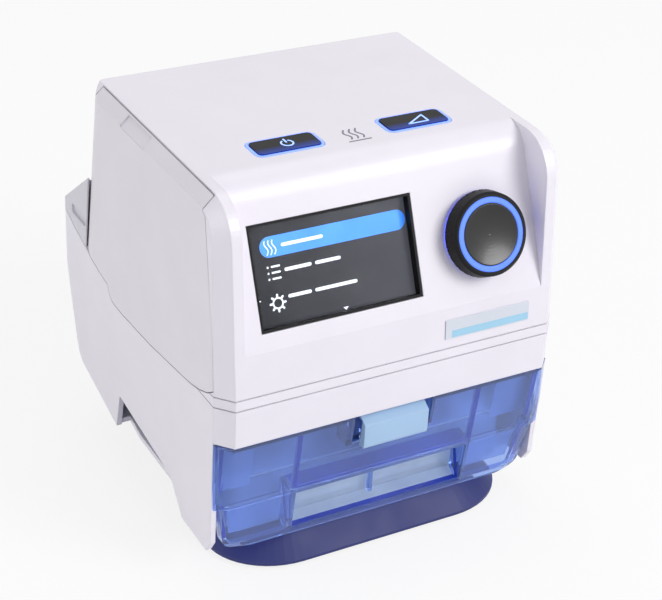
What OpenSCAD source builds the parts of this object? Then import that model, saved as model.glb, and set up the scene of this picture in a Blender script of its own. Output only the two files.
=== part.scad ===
// Bedside CPAP machine with an integrated heated humidifier.
// Millimetres, +Z up, the front faces -Y and X is to the viewer's right.
// Inside the modules y = 0 is the front plane of the lower unit and z = 0 is
// the table; origin_y moves the finished pieces back to the part's own origin.

/* [Cabinet] */
// Overall width over the side covers
body_w = 160; // [152:1:176]
// Width that each chamfered front corner takes off the front
corner_w = 6.4; // [5:0.2:8]
// Depth that a chamfered front corner reaches back
corner_d = 7.2; // [5:0.2:9]
// Height of the top cover above the table
top_z = 175.2; // [172:0.2:182]
// Depth of the cabinet from the front plane to the rear housing
cabinet_d = 173; // [170:0.5:182]
// Wall thickness of the moulded covers
wall = 2.4; // [2:0.1:3]
// Width of the joints that show between two covers
seam = 0.5; // [0.3:0.1:0.8]
// Clearance between pieces that rest on each other
seat = 0.3; // [0.2:0.05:0.4]
// Clearance round a moving button or knob
run_gap = 0.5; // [0.4:0.1:0.8]

/* [Upper unit] */
// Height of the joint between the upper and the lower unit
seam_z = 89; // [88:0.2:92]
// Height of the groove above that joint
groove_z = 93.6; // [92.8:0.2:95]
// Lean of the upper unit's front face from the vertical
front_lean = 5.35; // [3:0.05:7]
// Radius where the cheeks beside the fascia run into the top
cheek_r = 18; // [15:0.5:20]
// Height of the bevel along the top's side edges
bevel_z = 5.9; // [4.5:0.1:7]
// Radius of the side covers' front upper corner
side_r = 11.8; // [9:0.2:13]
// Distance of the top's rear edge in front of the cabinet's back
top_setback = 32; // [28:0.5:36]
// Lean of the upper unit's rear face from the vertical
back_lean = 7.7; // [5:0.1:9]
// Radius of the upper unit's rear corners
back_r = 16; // [10:0.5:18]
// Lean of the upper unit's sides from the vertical
side_lean = 0.8; // [0:0.1:1]
// Distance of the side covers' rear edge in front of the rear face
cover_gap = 10.4; // [9:0.2:12]
// Radius along the rear edge of the top
back_edge_r = 5; // [3:0.5:7]

/* [Fascia] */
// Height of the fascia's lower edge
fascia_z = 112.2; // [110:0.2:114]
// Lean of the fascia from the vertical
fascia_tilt = 22.6; // [20:0.2:25]
// Width of a cheek beside the fascia
cheek_w = 4.4; // [3.6:0.1:5.4]
// Radius where the fascia runs into the top
fascia_r = 14; // [10:0.5:16]
// Width of the fascia that the screen leaves to the dial and the margins
dial_room = 65; // [62:0.5:70]
// Height of the screen opening
screen_h = 42.9; // [38:0.2:46]
// Width of the fascia to the left of the screen
screen_inset = 8.5; // [6:0.1:10]
// Place of the screen's centre up the fascia
screen_s = 28.7; // [27:0.1:31]
// Depth of the bezel round the screen
bezel_d = 3.2; // [3:0.1:5]
// Width of the bezel's rim
bezel_rim = 0.9; // [0.7:0.1:2]
// Width of the blank name plate
plate_w = 41; // [30:1:46]
// Height of the blank name plate
plate_h = 8.6; // [6:0.2:10]

/* [Dial] */
// Radius of the dial's skirt where it meets the fascia
skirt_r = 18.2; // [16:0.1:19]
// Radius of the dial's skirt at its front rim
skirt_top_r = 17.4; // [15:0.1:18]
// Outer radius of the lit ring in the dial
ring_r = 15.4; // [14.5:0.1:15.8]
// Radius of the dial's glossy cap
cap_r = 12.9; // [11:0.1:13.5]
// Height of the lit ring above the fascia
ring_h = 9; // [8:0.1:10]
// Distance of the dial's centre from the fascia's right edge
dial_inset = 26.4; // [24:0.2:28]
// Place of the dial's centre up the fascia
dial_s = 27.7; // [26:0.1:30]
// Travel of the dial when it is pressed
dial_travel = 0.8; // [0.5:0.1:1]
// Radius of the encoder shaft
shaft_r = 3; // [2.5:0.1:3.5]

/* [Buttons] */
// Width of a top button
button_w = 28; // [24:0.5:30]
// Depth of a top button, front to back
button_d = 11.6; // [10:0.2:13]
// Corner radius of a top button
button_r = 2; // [1:0.2:3]
// Distance of a button's centre from the middle
button_x = 29.8; // [27:0.2:32]
// Flat top between the fascia's round edge and the button frames
button_gap = 4.4; // [2:0.1:8]
// Width of the lit rim round a button
rim_w = 1.7; // [1.2:0.1:2.4]
// How far a button stands proud of the top
button_proud = 0.6; // [0.4:0.1:1.4]
// Travel of a button when it is pressed
button_travel = 0.8; // [0.6:0.1:1.4]

/* [Lower unit] */
// Height of the bottom edge of the side walls
skirt_z = 14.6; // [13:0.2:17]
// Height of the header band's lower edge
band_z = 71.6; // [70:0.2:73]
// Height of the arch in each side wall, at its front
arch_front_z = 28.8; // [26:0.2:32]
// Height of the arch in each side wall, at its rear
arch_rear_z = 35.9; // [33:0.2:38]
// Radius of the lower unit's rear corners
rear_r = 8; // [6:0.5:10]
// Depth of the rear housing behind its joint with the side walls
rear_depth = 30; // [28:0.5:33]
// Height of the rear housing's shoulder above the joint between the units
hump_h = 41.4; // [38:0.2:43]
// Slope of the rear housing's top
hump_slope = 37.6; // [34:0.2:39]
// Inset of the floor behind the side arches
ledge_inset = 7; // [6:0.5:9]

/* [Base tray] */
// Distance of the lip's ends inside the cabinet's sides
lip_inset = 9; // [8:0.5:14]
// Distance of the lip's front edge behind the front plane
lip_y = 2.8; // [2:0.2:6]
// Length of each of the lip's round corners along its front
lip_corner_w = 33; // [20:1:36]
// Length of each of the lip's round corners from front to back
lip_corner_d = 28; // [18:1:32]
// Distance of the plinth inside the cabinet's sides
plinth_inset = 22; // [20:1:28]
// Distance of the plinth's rear end in front of the cabinet's back
plinth_gap = 25; // [21:1:33]
// Radius of a rubber foot
foot_r = 8; // [6:0.5:9]
// Thickness of a rubber foot
foot_t = 1.2; // [1:0.1:2]

/* [Water chamber] */
// Lean of the chamber's front panel from the vertical
panel_lean = 8; // [5:0.2:9]
// Height of the front panel's lower edge
panel_z = 13.4; // [13:0.2:15]
// Height of the ledge across the front panel
ledge_z = 38; // [36.8:0.2:40]
// Step of the front panel below that ledge
ledge_step = 0.8; // [0.4:0.1:1.2]
// Distance of the panel's lower part inside the cabinet's sides, at the ledge
box_inset = 3; // [2.9:0.1:5]
// Lean of that lower part's sides from the vertical
box_lean = 10; // [4:0.5:14]
// Radius of the panel's lower corners
box_r = 6.5; // [3:0.5:9]
// Height of the grip recess's upper edge
grip_z = 36.6; // [33:0.2:40]
// Half width of the grip recess
grip_half = 42; // [36:0.5:46]
// Front of the tub behind the front plane
tub_y = 17.6; // [16:0.2:22]
// Distance of the tub's rear in front of the joint with the rear housing
tub_gap = 41; // [40:0.2:45]
// Room between the tub and each side wall
tub_room = 8.2; // [7.6:0.2:12]
// Wall thickness of the tub and lid
tub_wall = 2; // [1.6:0.1:2.4]
// Height where the tub ends and the lid seal begins
tub_top = 42; // [38:0.5:46]
// Thickness of the lid seal
lid_seal_t = 1.4; // [1:0.1:2]
// Room between the lid and the header band's lower edge
lid_room = 3.6; // [3:0.1:6]
// Corner radius of the tub in plan
tub_r = 9; // [5:0.5:12]
// Half width of the metal base of the tub
base_half = 36; // [30:1:40]
// Travel of the chamber when it is drawn out
chamber_travel = 110; // [80:5:120]

/* [Latch] */
// Width of the chamber latch
latch_w = 30.6; // [26:0.2:34]
// Height of the chamber latch
latch_h = 15; // [12:0.2:16]
// How far the latch stands proud of the front panel
latch_proud = 3.4; // [2:0.2:5]
// Room beside the latch in its pocket
pocket_gap = 3.4; // [1:0.2:4]
// Travel of the latch when it is pressed down
latch_travel = 2.4; // [1.5:0.1:2.6]

/* [Air path] */
// Outer radius of the hose port, for a 22 mm hose cuff
port_r = 11; // [11:0.05:11]
// Bore radius of the air tubes
duct_r = 8; // [7:0.1:8.4]
// Wall of the air tubes
duct_wall = 2; // [1.6:0.1:2.4]
// Length of the hose port behind the rear housing
port_len = 22; // [16:1:26]
// Sideways place of the hose port
port_x = -26; // [-32:0.5:-20]
// Height of the two chamber ports and of the hose port
port_z = 56; // [55:0.5:57]
// Distance of the duct that comes down from the blower inside the cabinet's side
drop_inset = 23; // [21:0.5:26]
// Distance of that duct in front of the joint with the rear housing
drop_gap = 21; // [19:0.5:23]

/* [Blower] */
// Sideways place of the blower's centre
blower_x = 10; // [6:0.5:12]
// Distance of the blower's centre in front of the joint with the rear housing
blower_gap = 43; // [41:0.5:45]
// Radius of the volute
volute_r = 33; // [30:0.5:34]
// Radius of the impeller
impeller_r = 26; // [22:0.5:27]
// Number of impeller blades
blades = 9; // [7:1:12]
// Radius of the motor can
motor_r = 19; // [16:0.5:21]
// Radius of the motor shaft
motor_shaft_r = 1.5; // [1.2:0.1:2]

/* [Rear fittings] */
// Width of the intake filter's cover
filter_w = 48; // [40:1:52]
// Distance of the intake filter's cover below the top
filter_drop = 13; // [12:0.5:18]
// Distance of the intake filter's cover above the rear housing
filter_gap = 4.8; // [4:0.2:10]
// Distance of the filter cover's centre inside the cabinet's left side
filter_inset = 44; // [40:1:48]
// Distance of the power inlet inside the cabinet's right side
inlet_inset = 34; // [30:1:40]
// Height of the power inlet
inlet_z = 62; // [58:1:66]
// Radius of the power socket
socket_r = 4; // [3.5:0.1:4.5]

/* [Hidden] */
eps = 0.01;
// Facets in a quarter turn of a cover's edge
edge_steps = 12;
// Share of a cover's inset that also narrows its chamfered corners
corner_share = 0.4;
// Height above the whole part, where upward cuts end
above = top_z + 20;
half = body_w / 2;
front_half = half - corner_w;
inner_half = half - wall;
fascia_w = 2 * (front_half - cheek_w);
screen_w = fascia_w - dial_room;
screen_x = screen_inset + screen_w / 2 - fascia_w / 2;
dial_x = fascia_w / 2 - dial_inset;
rear_y = cabinet_d - rear_depth;
back_top_y = cabinet_d - top_setback;
hump_z = seam_z + hump_h;
lip_half = half - lip_inset;
plinth_half = half - plinth_inset;
plinth_y = cabinet_d - plinth_gap;
tub_end = rear_y - tub_gap;
tub_half = inner_half - tub_room;
lid_top = band_z - lid_room;
drop_x = half - drop_inset;
drop_y = rear_y - drop_gap;
blower_y = rear_y - blower_gap;
filter_x = filter_inset - half;
inlet_x = half - inlet_inset;
// Where the fascia's round edge has run out into the top
fascia_back = front_y(fascia_z) + (top_z - fascia_r - fascia_z) * tan(fascia_tilt)
    + fascia_r / cos(fascia_tilt);
button_y = fascia_back + button_gap + rim_w + button_d / 2;
upper_z = seam_z + seam / 2;
deck_z = seam_z - seam / 2;
panel_top = band_z - seam;
latch_y = panel_y(panel_top - latch_h / 2) - latch_proud;
// The origin lies under the middle of the whole part, from latch to hose port
origin_y = (latch_y + cabinet_d + port_len) / 2;
ridge_h = 1.6;
pan_z = upper_z + ridge_h + seat;
floor_top = skirt_z + wall;
tub_z = floor_top + 1.4;

// Colours of the mouldings and metals
white = [0.91, 0.9, 0.93];
side_white = [0.84, 0.82, 0.84];
pale_grey = [0.78, 0.79, 0.81];
navy = [0.22, 0.25, 0.48];
clear_blue = [0.37, 0.47, 0.78, 0.75];
pale_blue = [0.66, 0.8, 0.91];
black = [0.07, 0.07, 0.08];
glow = [0.45, 0.6, 0.98];
board_green = [0.12, 0.4, 0.24];
silver = [0.75, 0.76, 0.78];
steel = [0.6, 0.61, 0.64];
copper = [0.72, 0.45, 0.25];
soft_white = [0.9, 0.9, 0.88];
rubber = [0.16, 0.16, 0.17];
foam_grey = [0.36, 0.37, 0.39];

// ---------------------------------------------------------------- helpers
function front_y(z) = z > seam_z ? (z - seam_z) * tan(front_lean) : 0;
function back_y(z) = back_top_y + (top_z - z) * tan(back_lean);
function panel_y(z) = (band_z - z) * tan(panel_lean);
function arc(cy, cz, r, a0, a1, n) =
    [for (i = [0:n]) let (a = a0 + (a1 - a0) * i / n) [cy + r * cos(a), cz + r * sin(a)]];
function raised(points, dz) = [for (p = points) [p[0], p[1] + dz]];

module at_origin() { translate([0, -origin_y, 0]) children(); }

// A side profile, given as [y, z] points, drawn out along X
module along_x(points, x0, x1) {
    translate([x0, 0, 0]) rotate([90, 0, 90]) linear_extrude(x1 - x0) polygon(points);
}
// A bar along Y
module rod_y(r, y0, y1, x, z) {
    translate([x, y0, z]) rotate([-90, 0, 0]) cylinder(h = y1 - y0, r = r, $fn = 64);
}
module rod_z(r, z0, z1, x, y) { translate([x, y, z0]) cylinder(h = z1 - z0, r = r, $fn = 64); }
module tube_y(r, bore, y0, y1, x, z) {
    difference() { rod_y(r, y0, y1, x, z); rod_y(bore, y0 - 1, y1 + 1, x, z); }
}
module tube_z(r, bore, z0, z1, x, y) {
    difference() { rod_z(r, z0, z1, x, y); rod_z(bore, z0 - 1, z1 + 1, x, y); }
}
module block(x0, x1, y0, y1, z0, z1) { translate([x0, y0, z0]) cube([x1 - x0, y1 - y0, z1 - z0]); }
module both_sides() { for (s = [0, 1]) mirror([s, 0, 0]) children(); }
// A rectangle with round corners, from corner to corner
module round_rect(x0, x1, y0, y1, r) {
    translate([x0 + r, y0]) square([x1 - x0 - 2 * r, y1 - y0]);
    translate([x0, y0 + r]) square([x1 - x0, y1 - y0 - 2 * r]);
    for (x = [x0 + r, x1 - r], y = [y0 + r, y1 - r]) translate([x, y]) circle(r, $fn = 48);
}
module round_block(x0, x1, y0, y1, z0, z1, r) {
    translate([0, 0, z0]) linear_extrude(z1 - z0) round_rect(x0, x1, y0, y1, r);
}

// Frame of the leaning fascia: x to the right, z up the slope, y into the body
module on_fascia() {
    translate([0, front_y(fascia_z), fascia_z]) rotate([-fascia_tilt, 0, 0]) children();
}
// Frame of the upper unit's rear face: y points outwards, z up the face from the top edge
module on_back() { translate([0, back_top_y, top_z]) rotate([back_lean, 0, 0]) children(); }

// ------------------------------------------------------ upper unit's shape
// Side profile of the cheeks, inset by i on every face
function cheek_profile(i) =
    let (cz = top_z - cheek_r, cy = front_y(cz) + cheek_r / cos(front_lean),
         bz = top_z - back_edge_r, by = back_y(bz) - back_edge_r / cos(back_lean))
    concat([[i / cos(front_lean), seam_z - 20], [i / cos(front_lean), seam_z]],
        arc(cy, cz, cheek_r - i, 180 - front_lean, 90, edge_steps),
        arc(by, bz, back_edge_r - i, 90, back_lean, edge_steps),
        [[back_y(seam_z - 20) - i / cos(back_lean), seam_z - 20]]);
// Side profile of the side covers' outer face, inset by i
function side_profile(i) =
    let (r = side_r, cz = top_z - bevel_z - side_r - i * corner_share,
         cy = front_y(cz) + corner_d + i * corner_share + side_r / cos(front_lean))
    concat([[corner_d + i * corner_share, seam_z - 20], [corner_d + i * corner_share, seam_z]],
        arc(cy, cz, r, 180 - front_lean, 90, edge_steps),
        [[cabinet_d, top_z - bevel_z - i * corner_share], [cabinet_d, seam_z - 20]]);
// Where the side cover's round corner has reached the top
mitre_y = front_y(top_z - bevel_z - side_r) + corner_d + side_r / cos(front_lean) - 4;

// Plan of the upper unit: chamfered in front, round behind, narrower to the top by lean
module upper_plan(i, lean = side_lean) {
    hull() for (z = [seam_z - 20, seam_z, top_z + 1]) translate([0, 0, z]) linear_extrude(eps) {
        k = i + max(0, z - seam_z) * tan(lean);
        for (s = [-1, 1]) translate([s * (half - k + i - back_r), back_y(z) - back_r])
            circle(back_r - i, $fn = 48);
        polygon([[-half + k, corner_d], [-front_half + k, -2], [front_half - k, -2], [half - k, corner_d],
            [half - k, rear_y / 2], [-half + k, rear_y / 2]]);
    }
}
module upper_body(i) {
    intersection() {
        upper_plan(i);
        union() {
            along_x(cheek_profile(i), -front_half + i * corner_share, front_half - i * corner_share);
            both_sides() hull() {
                along_x(cheek_profile(i), front_half - i * corner_share - eps, front_half - i * corner_share);
                along_x(side_profile(i), half - i - eps, half - i);
            }
        }
    }
}
// The space in front of the fascia, grown by w
module fascia_space(w) {
    r = fascia_r - w;
    cz = top_z - fascia_r;
    cy = fascia_back;
    foot = w / cos(fascia_tilt) - w * tan(fascia_tilt);
    along_x(concat([[-30, fascia_z - w], [front_y(fascia_z) + foot, fascia_z - w]],
        arc(cy, cz, r, 180 - fascia_tilt, 90, edge_steps), [[cy, top_z + 20], [-30, top_z + 20]]),
        -fascia_w / 2 - w, fascia_w / 2 + w);
}
module upper_shell() {
    difference() {
        upper_body(0);
        fascia_space(0);
        difference() { upper_body(wall); fascia_space(wall); }
    }
}

// Lower edge of the side covers, front to back
side_end = [side_back(seam_z + 4.4), seam_z + 4.4];
side_edge = [
    [corner_d - 1, seam_z + 8], [13, seam_z + 3.4], [20, seam_z + 0.7], [30, seam_z - 1.6],
    [47, seam_z - 3.7], [70, seam_z - 6.4], [rear_y - 41, seam_z - 8.1], [rear_y - 32, seam_z - 7.8],
    [rear_y - 29, seam_z - 6], [rear_y - 26, seam_z - 1.6], [rear_y - 17, seam_z - 0.2],
    [rear_y - 7, seam_z + 2], side_end
];
// The same joint as it runs on behind the side covers
rear_edge = [side_end, [rear_y + 12, seam_z + 8], [rear_y + 19, seam_z + 11], [cabinet_d + 2, seam_z + 15]];
// Rear edge of a side cover at height z
function side_back(z) = back_y(z) - cover_gap;
// Zone of the side covers, grown by g, with the bevel above it
module side_zone(g) {
    corner_z = side_end[1] - g;
    edge = raised([for (k = [0:len(side_edge) - 2]) side_edge[k]], -g);
    x0 = front_half + 0.4 - g;
    zt = top_z - bevel_z + g;
    cut = concat(edge, [[side_back(corner_z) + g, corner_z], [side_back(zt) + g, zt],
        [side_back(zt) + g, top_z + 5], [mitre_y - g, top_z + 5]]);
    both_sides() intersection() {
        along_x(cut, x0, half + 5);
        union() {
            along_x([for (p = side_profile(-g)) [p[0], min(p[1], zt)]], x0, half + 5);
            block(x0, half + 5, mitre_y - g, cabinet_d, top_z - bevel_z - 1, top_z + 5);
        }
    }
}
module rear_zone(g) {
    zt = top_z - bevel_z + g;
    along_x([[side_back(seam_z - 20) - g, seam_z - 20], [side_back(zt) - g, zt],
        [cabinet_d, zt], [cabinet_d, seam_z - 20]], -half - 5, half + 5);
}

// ------------------------------------------------------ upper unit, covers
module button_opening(x) {
    round_block(x - button_w / 2 - rim_w, x + button_w / 2 + rim_w, button_y - button_d / 2 - rim_w,
        button_y + button_d / 2 + rim_w, top_z - wall - 1, top_z + 1, button_r + rim_w);
}
module top_cover() color(white) at_origin() difference() {
    upper_shell();
    side_zone(seam / 2);
    rear_zone(seam / 2);
    block(-half - 1, half + 1, -5, cabinet_d, seam_z - 25, groove_z + seam / 2);
    for (s = [-1, 1]) button_opening(s * button_x);
    on_fascia() {
        translate([screen_x, 0, screen_s]) cube([screen_w, 20, screen_h], center = true);
        rod_y(shaft_r + 1.4, -5, wall + 5, dial_x, dial_s);
    }
}
// A side cover has a shallow finger notch in its bevel
module side_cover() {
    difference() {
        intersection() {
            upper_shell();
            side_zone(-seam / 2);
            block(half / 2 + 5, half * 3 / 2 + 5, -5, cabinet_d, 0, top_z + 5);
        }
        rear_zone(seam / 2);
        notch();
    }
}
notch_y = 78;
notch_len = 24;
module notch() {
    translate([front_half + 0.4, notch_y, top_z]) rotate([0, atan2(bevel_z, half - front_half - 0.4), 0])
        translate([1.6, 0, -0.9]) cube([6, notch_len, 3]);
}
module right_side_cover() color(side_white) at_origin() side_cover();
module left_side_cover() color(side_white) at_origin() mirror([1, 0, 0]) side_cover();

filter_top = -filter_drop;
filter_h = top_z - hump_z - filter_drop - filter_gap;
module rear_cover() color(side_white) at_origin() difference() {
    intersection() { upper_shell(); rear_zone(-seam / 2); }
    block(-half, half, 0, cabinet_d, seam_z - 25, pan_z + wall + seat);
    on_back() block(filter_x - filter_w / 2 + 2, filter_x + filter_w / 2 - 2, -wall - 5, 5,
        filter_top - filter_h + 2, filter_top - 2);
    // Recess that the filter cover sits in
    on_back() block(filter_x - filter_w / 2 - seam / 2, filter_x + filter_w / 2 + seam / 2, -1.2, 5,
        filter_top - filter_h - seam / 2, filter_top + seam / 2);
}
module filter_cover() color(side_white) at_origin() on_back() difference() {
    union() {
        block(filter_x - filter_w / 2 + seam / 2, filter_x + filter_w / 2 - seam / 2, -1.2 + seat, 0.8,
            filter_top - filter_h + seam / 2, filter_top - seam / 2);
        translate([filter_x, 0.8 - eps, filter_top - filter_h + 4]) cube([14, 2, 2], center = true);
    }
    for (i = [-4:4]) block(filter_x + i * 4.4 - 1, filter_x + i * 4.4 + 1, -5, 5,
        filter_top - filter_h + 8, filter_top - 4);
}
module intake_filter() color(soft_white) at_origin() on_back()
    block(filter_x - filter_w / 2 + 3, filter_x + filter_w / 2 - 3, -wall - 6, -1.2,
        filter_top - filter_h + 3, filter_top - 3);

// The pan that carries everything in the upper unit, with the band that shows
module chassis() color(white) at_origin() {
    difference() {
        union() {
            difference() {
                intersection() { upper_body(0); block(-half, half, -1, 24, upper_z, groove_z - seam / 2); }
                upper_body(wall);
                side_zone(seam / 2);
            }
            intersection() {
                round_block(-inner_half + seam, inner_half - seam, -back_r, back_y(upper_z) - wall - 4,
                    pan_z, pan_z + wall, back_r);
                linear_extrude(above) lower_plan(wall - 0.2);
            }
            for (p = blower_feet) rod_z(4, pan_z, pan_z + wall + 1.5, p[0], p[1]);
            // Tongue behind the groove
            along_x([for (e = [[wall + seat, pan_z + 0.4], [wall + seat, groove_z + 3.4],
                [wall + 1.9, groove_z + 3.4], [wall + 1.9, pan_z + 0.4]]) [front_y(e[1]) + e[0], e[1]]],
                -front_half + 2, front_half - 2);
        }
        rod_z(duct_r, 0, above, drop_x, drop_y);
        connector_hole(0, above);
    }
}

// ------------------------------------------------------ screen and dial
module screen_bezel() color(black) at_origin() on_fascia() difference() {
    translate([screen_x, bezel_d / 2 + 0.2, screen_s])
        cube([screen_w - 2 * seat, bezel_d, screen_h - 2 * seat], center = true);
    translate([screen_x, 0, screen_s])
        cube([screen_w - 2 * (seat + bezel_rim), 4 * bezel_d, screen_h - 2 * (seat + bezel_rim)], center = true);
}
lens_y = bezel_d + 0.2 + 0.1;
module display_lens() color([0.12, 0.13, 0.16]) at_origin() on_fascia()
    translate([screen_x, lens_y + 0.6, screen_s])
        cube([screen_w - 2 * seat, 1.2, screen_h - 2 * seat], center = true);
module lcd_module() color([0.2, 0.22, 0.26]) at_origin() on_fascia()
    translate([screen_x, lens_y + 1.3 + 1.6, screen_s]) cube([screen_w - 2, 3.2, screen_h - 1], center = true);
board_y = lens_y + 4.5 + 2.6;
module display_board() color(board_green) at_origin() on_fascia() difference() {
    union() {
        block(screen_x - screen_w / 2 - 4, fascia_w / 2 - 4, board_y, board_y + board_t,
            screen_s - screen_h / 2 - 1.2, screen_s + screen_h / 2 - 0.2);
        // Spacers that hold the LCD module off the board
        for (x = [-1, 1], z = [-1, 1]) rod_y(2.2, board_y - 2.5, board_y + eps,
            screen_x + x * (screen_w / 2 - 6.7), screen_s + z * (screen_h / 2 - 5.4));
    }
    rod_y(shaft_r + seat, board_y - 1, board_y + 3, dial_x, dial_s);
}
encoder_front = wall + seat;
module encoder_body() color(steel) at_origin() on_fascia() difference() {
    union() {
        translate([dial_x, (encoder_front + 1.6 + board_y - 0.1) / 2, dial_s])
            cube([13, board_y - 0.1 - encoder_front - 1.6, 13], center = true);
        rod_y(shaft_r + 1, encoder_front - wall + 0.4, encoder_front + 1.7, dial_x, dial_s);
    }
    rod_y(shaft_r + 0.05, -1, board_y + 1, dial_x, dial_s);
}
// The shaft that is pressed with the dial
shaft_front = -ring_h + 3;
shaft_end = board_y - dial_travel - 2.3;
module encoder_shaft() color(steel) at_origin() on_fascia()
    rod_y(shaft_r, shaft_front, shaft_end, dial_x, dial_s);
// The plunger that the turning shaft pushes against the switch
module encoder_plunger() color(black) at_origin() on_fascia()
    rod_y(shaft_r, shaft_end + 0.05, board_y - dial_travel - 0.3, dial_x, dial_s);
// A round piece about the dial's axis, drawn as [radius, height above the fascia]
module dial_turned(points) {
    on_fascia() translate([dial_x, 0, dial_s]) rotate([90, 0, 0]) rotate_extrude($fn = 96) polygon(points);
}
skirt_gap = dial_travel + run_gap + 0.6;
module dial_skirt() color(black) at_origin() difference() {
    dial_turned([[shaft_r + 0.05, skirt_gap], [skirt_r - 0.6, skirt_gap], [skirt_r, skirt_gap + 0.6],
        [skirt_top_r, ring_h - 1], [skirt_top_r - 1.2, ring_h - 0.1], [ring_r + 0.05, ring_h - 0.1],
        [ring_r + 0.05, ring_h - 2.2], [shaft_r + 0.05, ring_h - 2.2]]);
    // Notches of the grip round the skirt
    on_fascia() translate([dial_x, 0, dial_s]) for (i = [0:35]) rotate([0, i * 10, 0])
        translate([skirt_r, -ring_h / 2, 0]) rotate([90, 0, 0])
            cylinder(h = ring_h - 4.6, r = 0.45, center = true, $fn = 16);
}
module dial_ring() color(glow) at_origin()
    dial_turned([[cap_r + 0.05, ring_h - 2.1], [ring_r, ring_h - 2.1], [ring_r, ring_h - 0.3],
        [ring_r - 0.5, ring_h], [cap_r + 0.5, ring_h], [cap_r + 0.05, ring_h - 0.3]]);
// Depth of the finger dish in the cap
cap_dish = 1.2;
module dial_cap() color(black) at_origin()
    dial_turned(concat(
        [[0, ring_h - 2.1], [cap_r, ring_h - 2.1], [cap_r, ring_h - 0.2], [cap_r - 0.5, ring_h + 0.1]],
        [for (k = [1:7]) let (r = (cap_r - 0.8) * (1 - k / 8))
            [r, ring_h - cap_dish * (1 - pow(r / (cap_r - 0.8), 2))]],
        [[0, ring_h - cap_dish]]));
module dial_light_ring() color(glow) at_origin()
    dial_turned([[shaft_r + 2, 0.1], [skirt_r - 1.5, 0.1], [skirt_r - 1.5, 0.6], [shaft_r + 2, 0.6]]);
module name_plate() color(silver) at_origin()
    translate([0, front_y(groove_z), groove_z]) rotate([-front_lean, 0, 0])
        block(dial_x - plate_w / 2, dial_x + plate_w / 2, -0.5, -0.1, 4.6, 4.6 + plate_h);

// ------------------------------------------------------ buttons
flange = 1.5;
module button_frames() color(glow) at_origin() for (s = [-1, 1]) difference() {
    union() {
        round_block(s * button_x - button_w / 2 - rim_w + seat, s * button_x + button_w / 2 + rim_w - seat,
            button_y - button_d / 2 - rim_w + seat, button_y + button_d / 2 + rim_w - seat,
            top_z - wall - 0.2, top_z + 0.1, button_r + rim_w - seat);
        round_block(s * button_x - button_w / 2 - rim_w - flange, s * button_x + button_w / 2 + rim_w + flange,
            button_y - button_d / 2 - rim_w - flange, button_y + button_d / 2 + rim_w + flange,
            top_z - wall - 1.6, top_z - wall - seat, button_r + rim_w);
    }
    round_block(s * button_x - button_w / 2 - run_gap / 2, s * button_x + button_w / 2 + run_gap / 2,
        button_y - button_d / 2 - run_gap / 2, button_y + button_d / 2 + run_gap / 2,
        top_z - wall - 5, top_z + 1, button_r);
}
switch_top = top_z - wall - 5.4;
module button(s) at_origin() {
    round_block(s * button_x - button_w / 2, s * button_x + button_w / 2, button_y - button_d / 2,
        button_y + button_d / 2, top_z - wall - 1.4, top_z + button_proud, button_r);
    rod_z(2, switch_top + seat, top_z - wall - 1.4 + eps, s * button_x, button_y);
}
module power_button() color(black) button(-1);
module ramp_button() color(black) button(1);
switch_h = 3.5;
module tactile_switches() color(steel) at_origin() for (s = [-1, 1]) {
    block(s * button_x - 3, s * button_x + 3, button_y - 3, button_y + 3,
        switch_top - switch_h, switch_top - button_travel - 0.3);
    rod_z(1.6, switch_top - button_travel - 0.3 - eps, switch_top - button_travel, s * button_x, button_y);
}
post_y = button_y + button_d / 2 + rim_w + flange + 2.2;
module button_board() color(board_green) at_origin() {
    difference() {
        block(-button_x - 16, button_x + 16, button_y - 7, post_y + 2,
            switch_top - switch_h - 0.1 - board_t, switch_top - switch_h - 0.1);
        for (s = [-1, 1]) rod_z(1.6, 0, above, s * 8, button_y + 5);
    }
    // Posts up to the underside of the top
    for (s = [-1, 1]) rod_z(1.8, switch_top - switch_h - 0.2, top_z - wall - seat, s * (button_x + 12), post_y);
}

// ------------------------------------------------------ blower
volute_z = pan_z + wall + 5;
volute_mid = volute_z + 9;
volute_top = volute_z + 22;
// Radius of the air's way in above the impeller
eye_r = 11;
blower_feet = [for (a = [30, 150, 270])
    [blower_x + (volute_r - 7) * cos(a), blower_y + (volute_r - 7) * sin(a)]];
module volute_plan(i) {
    translate([blower_x, blower_y]) circle(volute_r - i, $fn = 96);
    translate([blower_x, drop_y - 11 + i]) square([drop_x + 11 - blower_x - i, 22 - 2 * i]);
}
module volute() color(pale_grey) at_origin() difference() {
    translate([0, 0, volute_z]) linear_extrude(volute_mid - volute_z) volute_plan(0);
    translate([0, 0, volute_z + 2]) linear_extrude(volute_top - volute_z) volute_plan(2);
    rod_z(duct_r, 0, above, drop_x, drop_y);
}
module volute_cover() color(pale_grey) at_origin() difference() {
    union() {
        translate([0, 0, volute_mid + 0.1]) linear_extrude(volute_top - volute_mid - 0.1) volute_plan(0);
        tube_z(eye_r + 3, eye_r, volute_top - eps, volute_top + 3, blower_x, blower_y);
    }
    translate([0, 0, volute_mid - 1]) linear_extrude(volute_top - volute_mid - 1) volute_plan(2);
    rod_z(eye_r, 0, above, blower_x, blower_y);
}
motor_z = volute_top + 6;
motor_h = 20;
module motor_housing() color(silver) at_origin() {
    difference() {
        rod_z(motor_r, motor_z, motor_z + motor_h, blower_x, blower_y);
        rod_z(motor_r - 2, motor_z + 2, motor_z + motor_h - 2, blower_x, blower_y);
        rod_z(4.05, 0, above, blower_x, blower_y);
    }
    // Three legs down to the volute cover
    for (a = [90, 210, 330]) rod_z(1.8, volute_top + 0.05, motor_z + eps,
        blower_x + (motor_r - 2.2) * cos(a), blower_y + (motor_r - 2.2) * sin(a));
}
module motor_stator() color(copper) at_origin()
    tube_z(motor_r - 2.1, motor_shaft_r + 5.5, motor_z + 3.5, motor_z + motor_h - 3.5, blower_x, blower_y);
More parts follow.
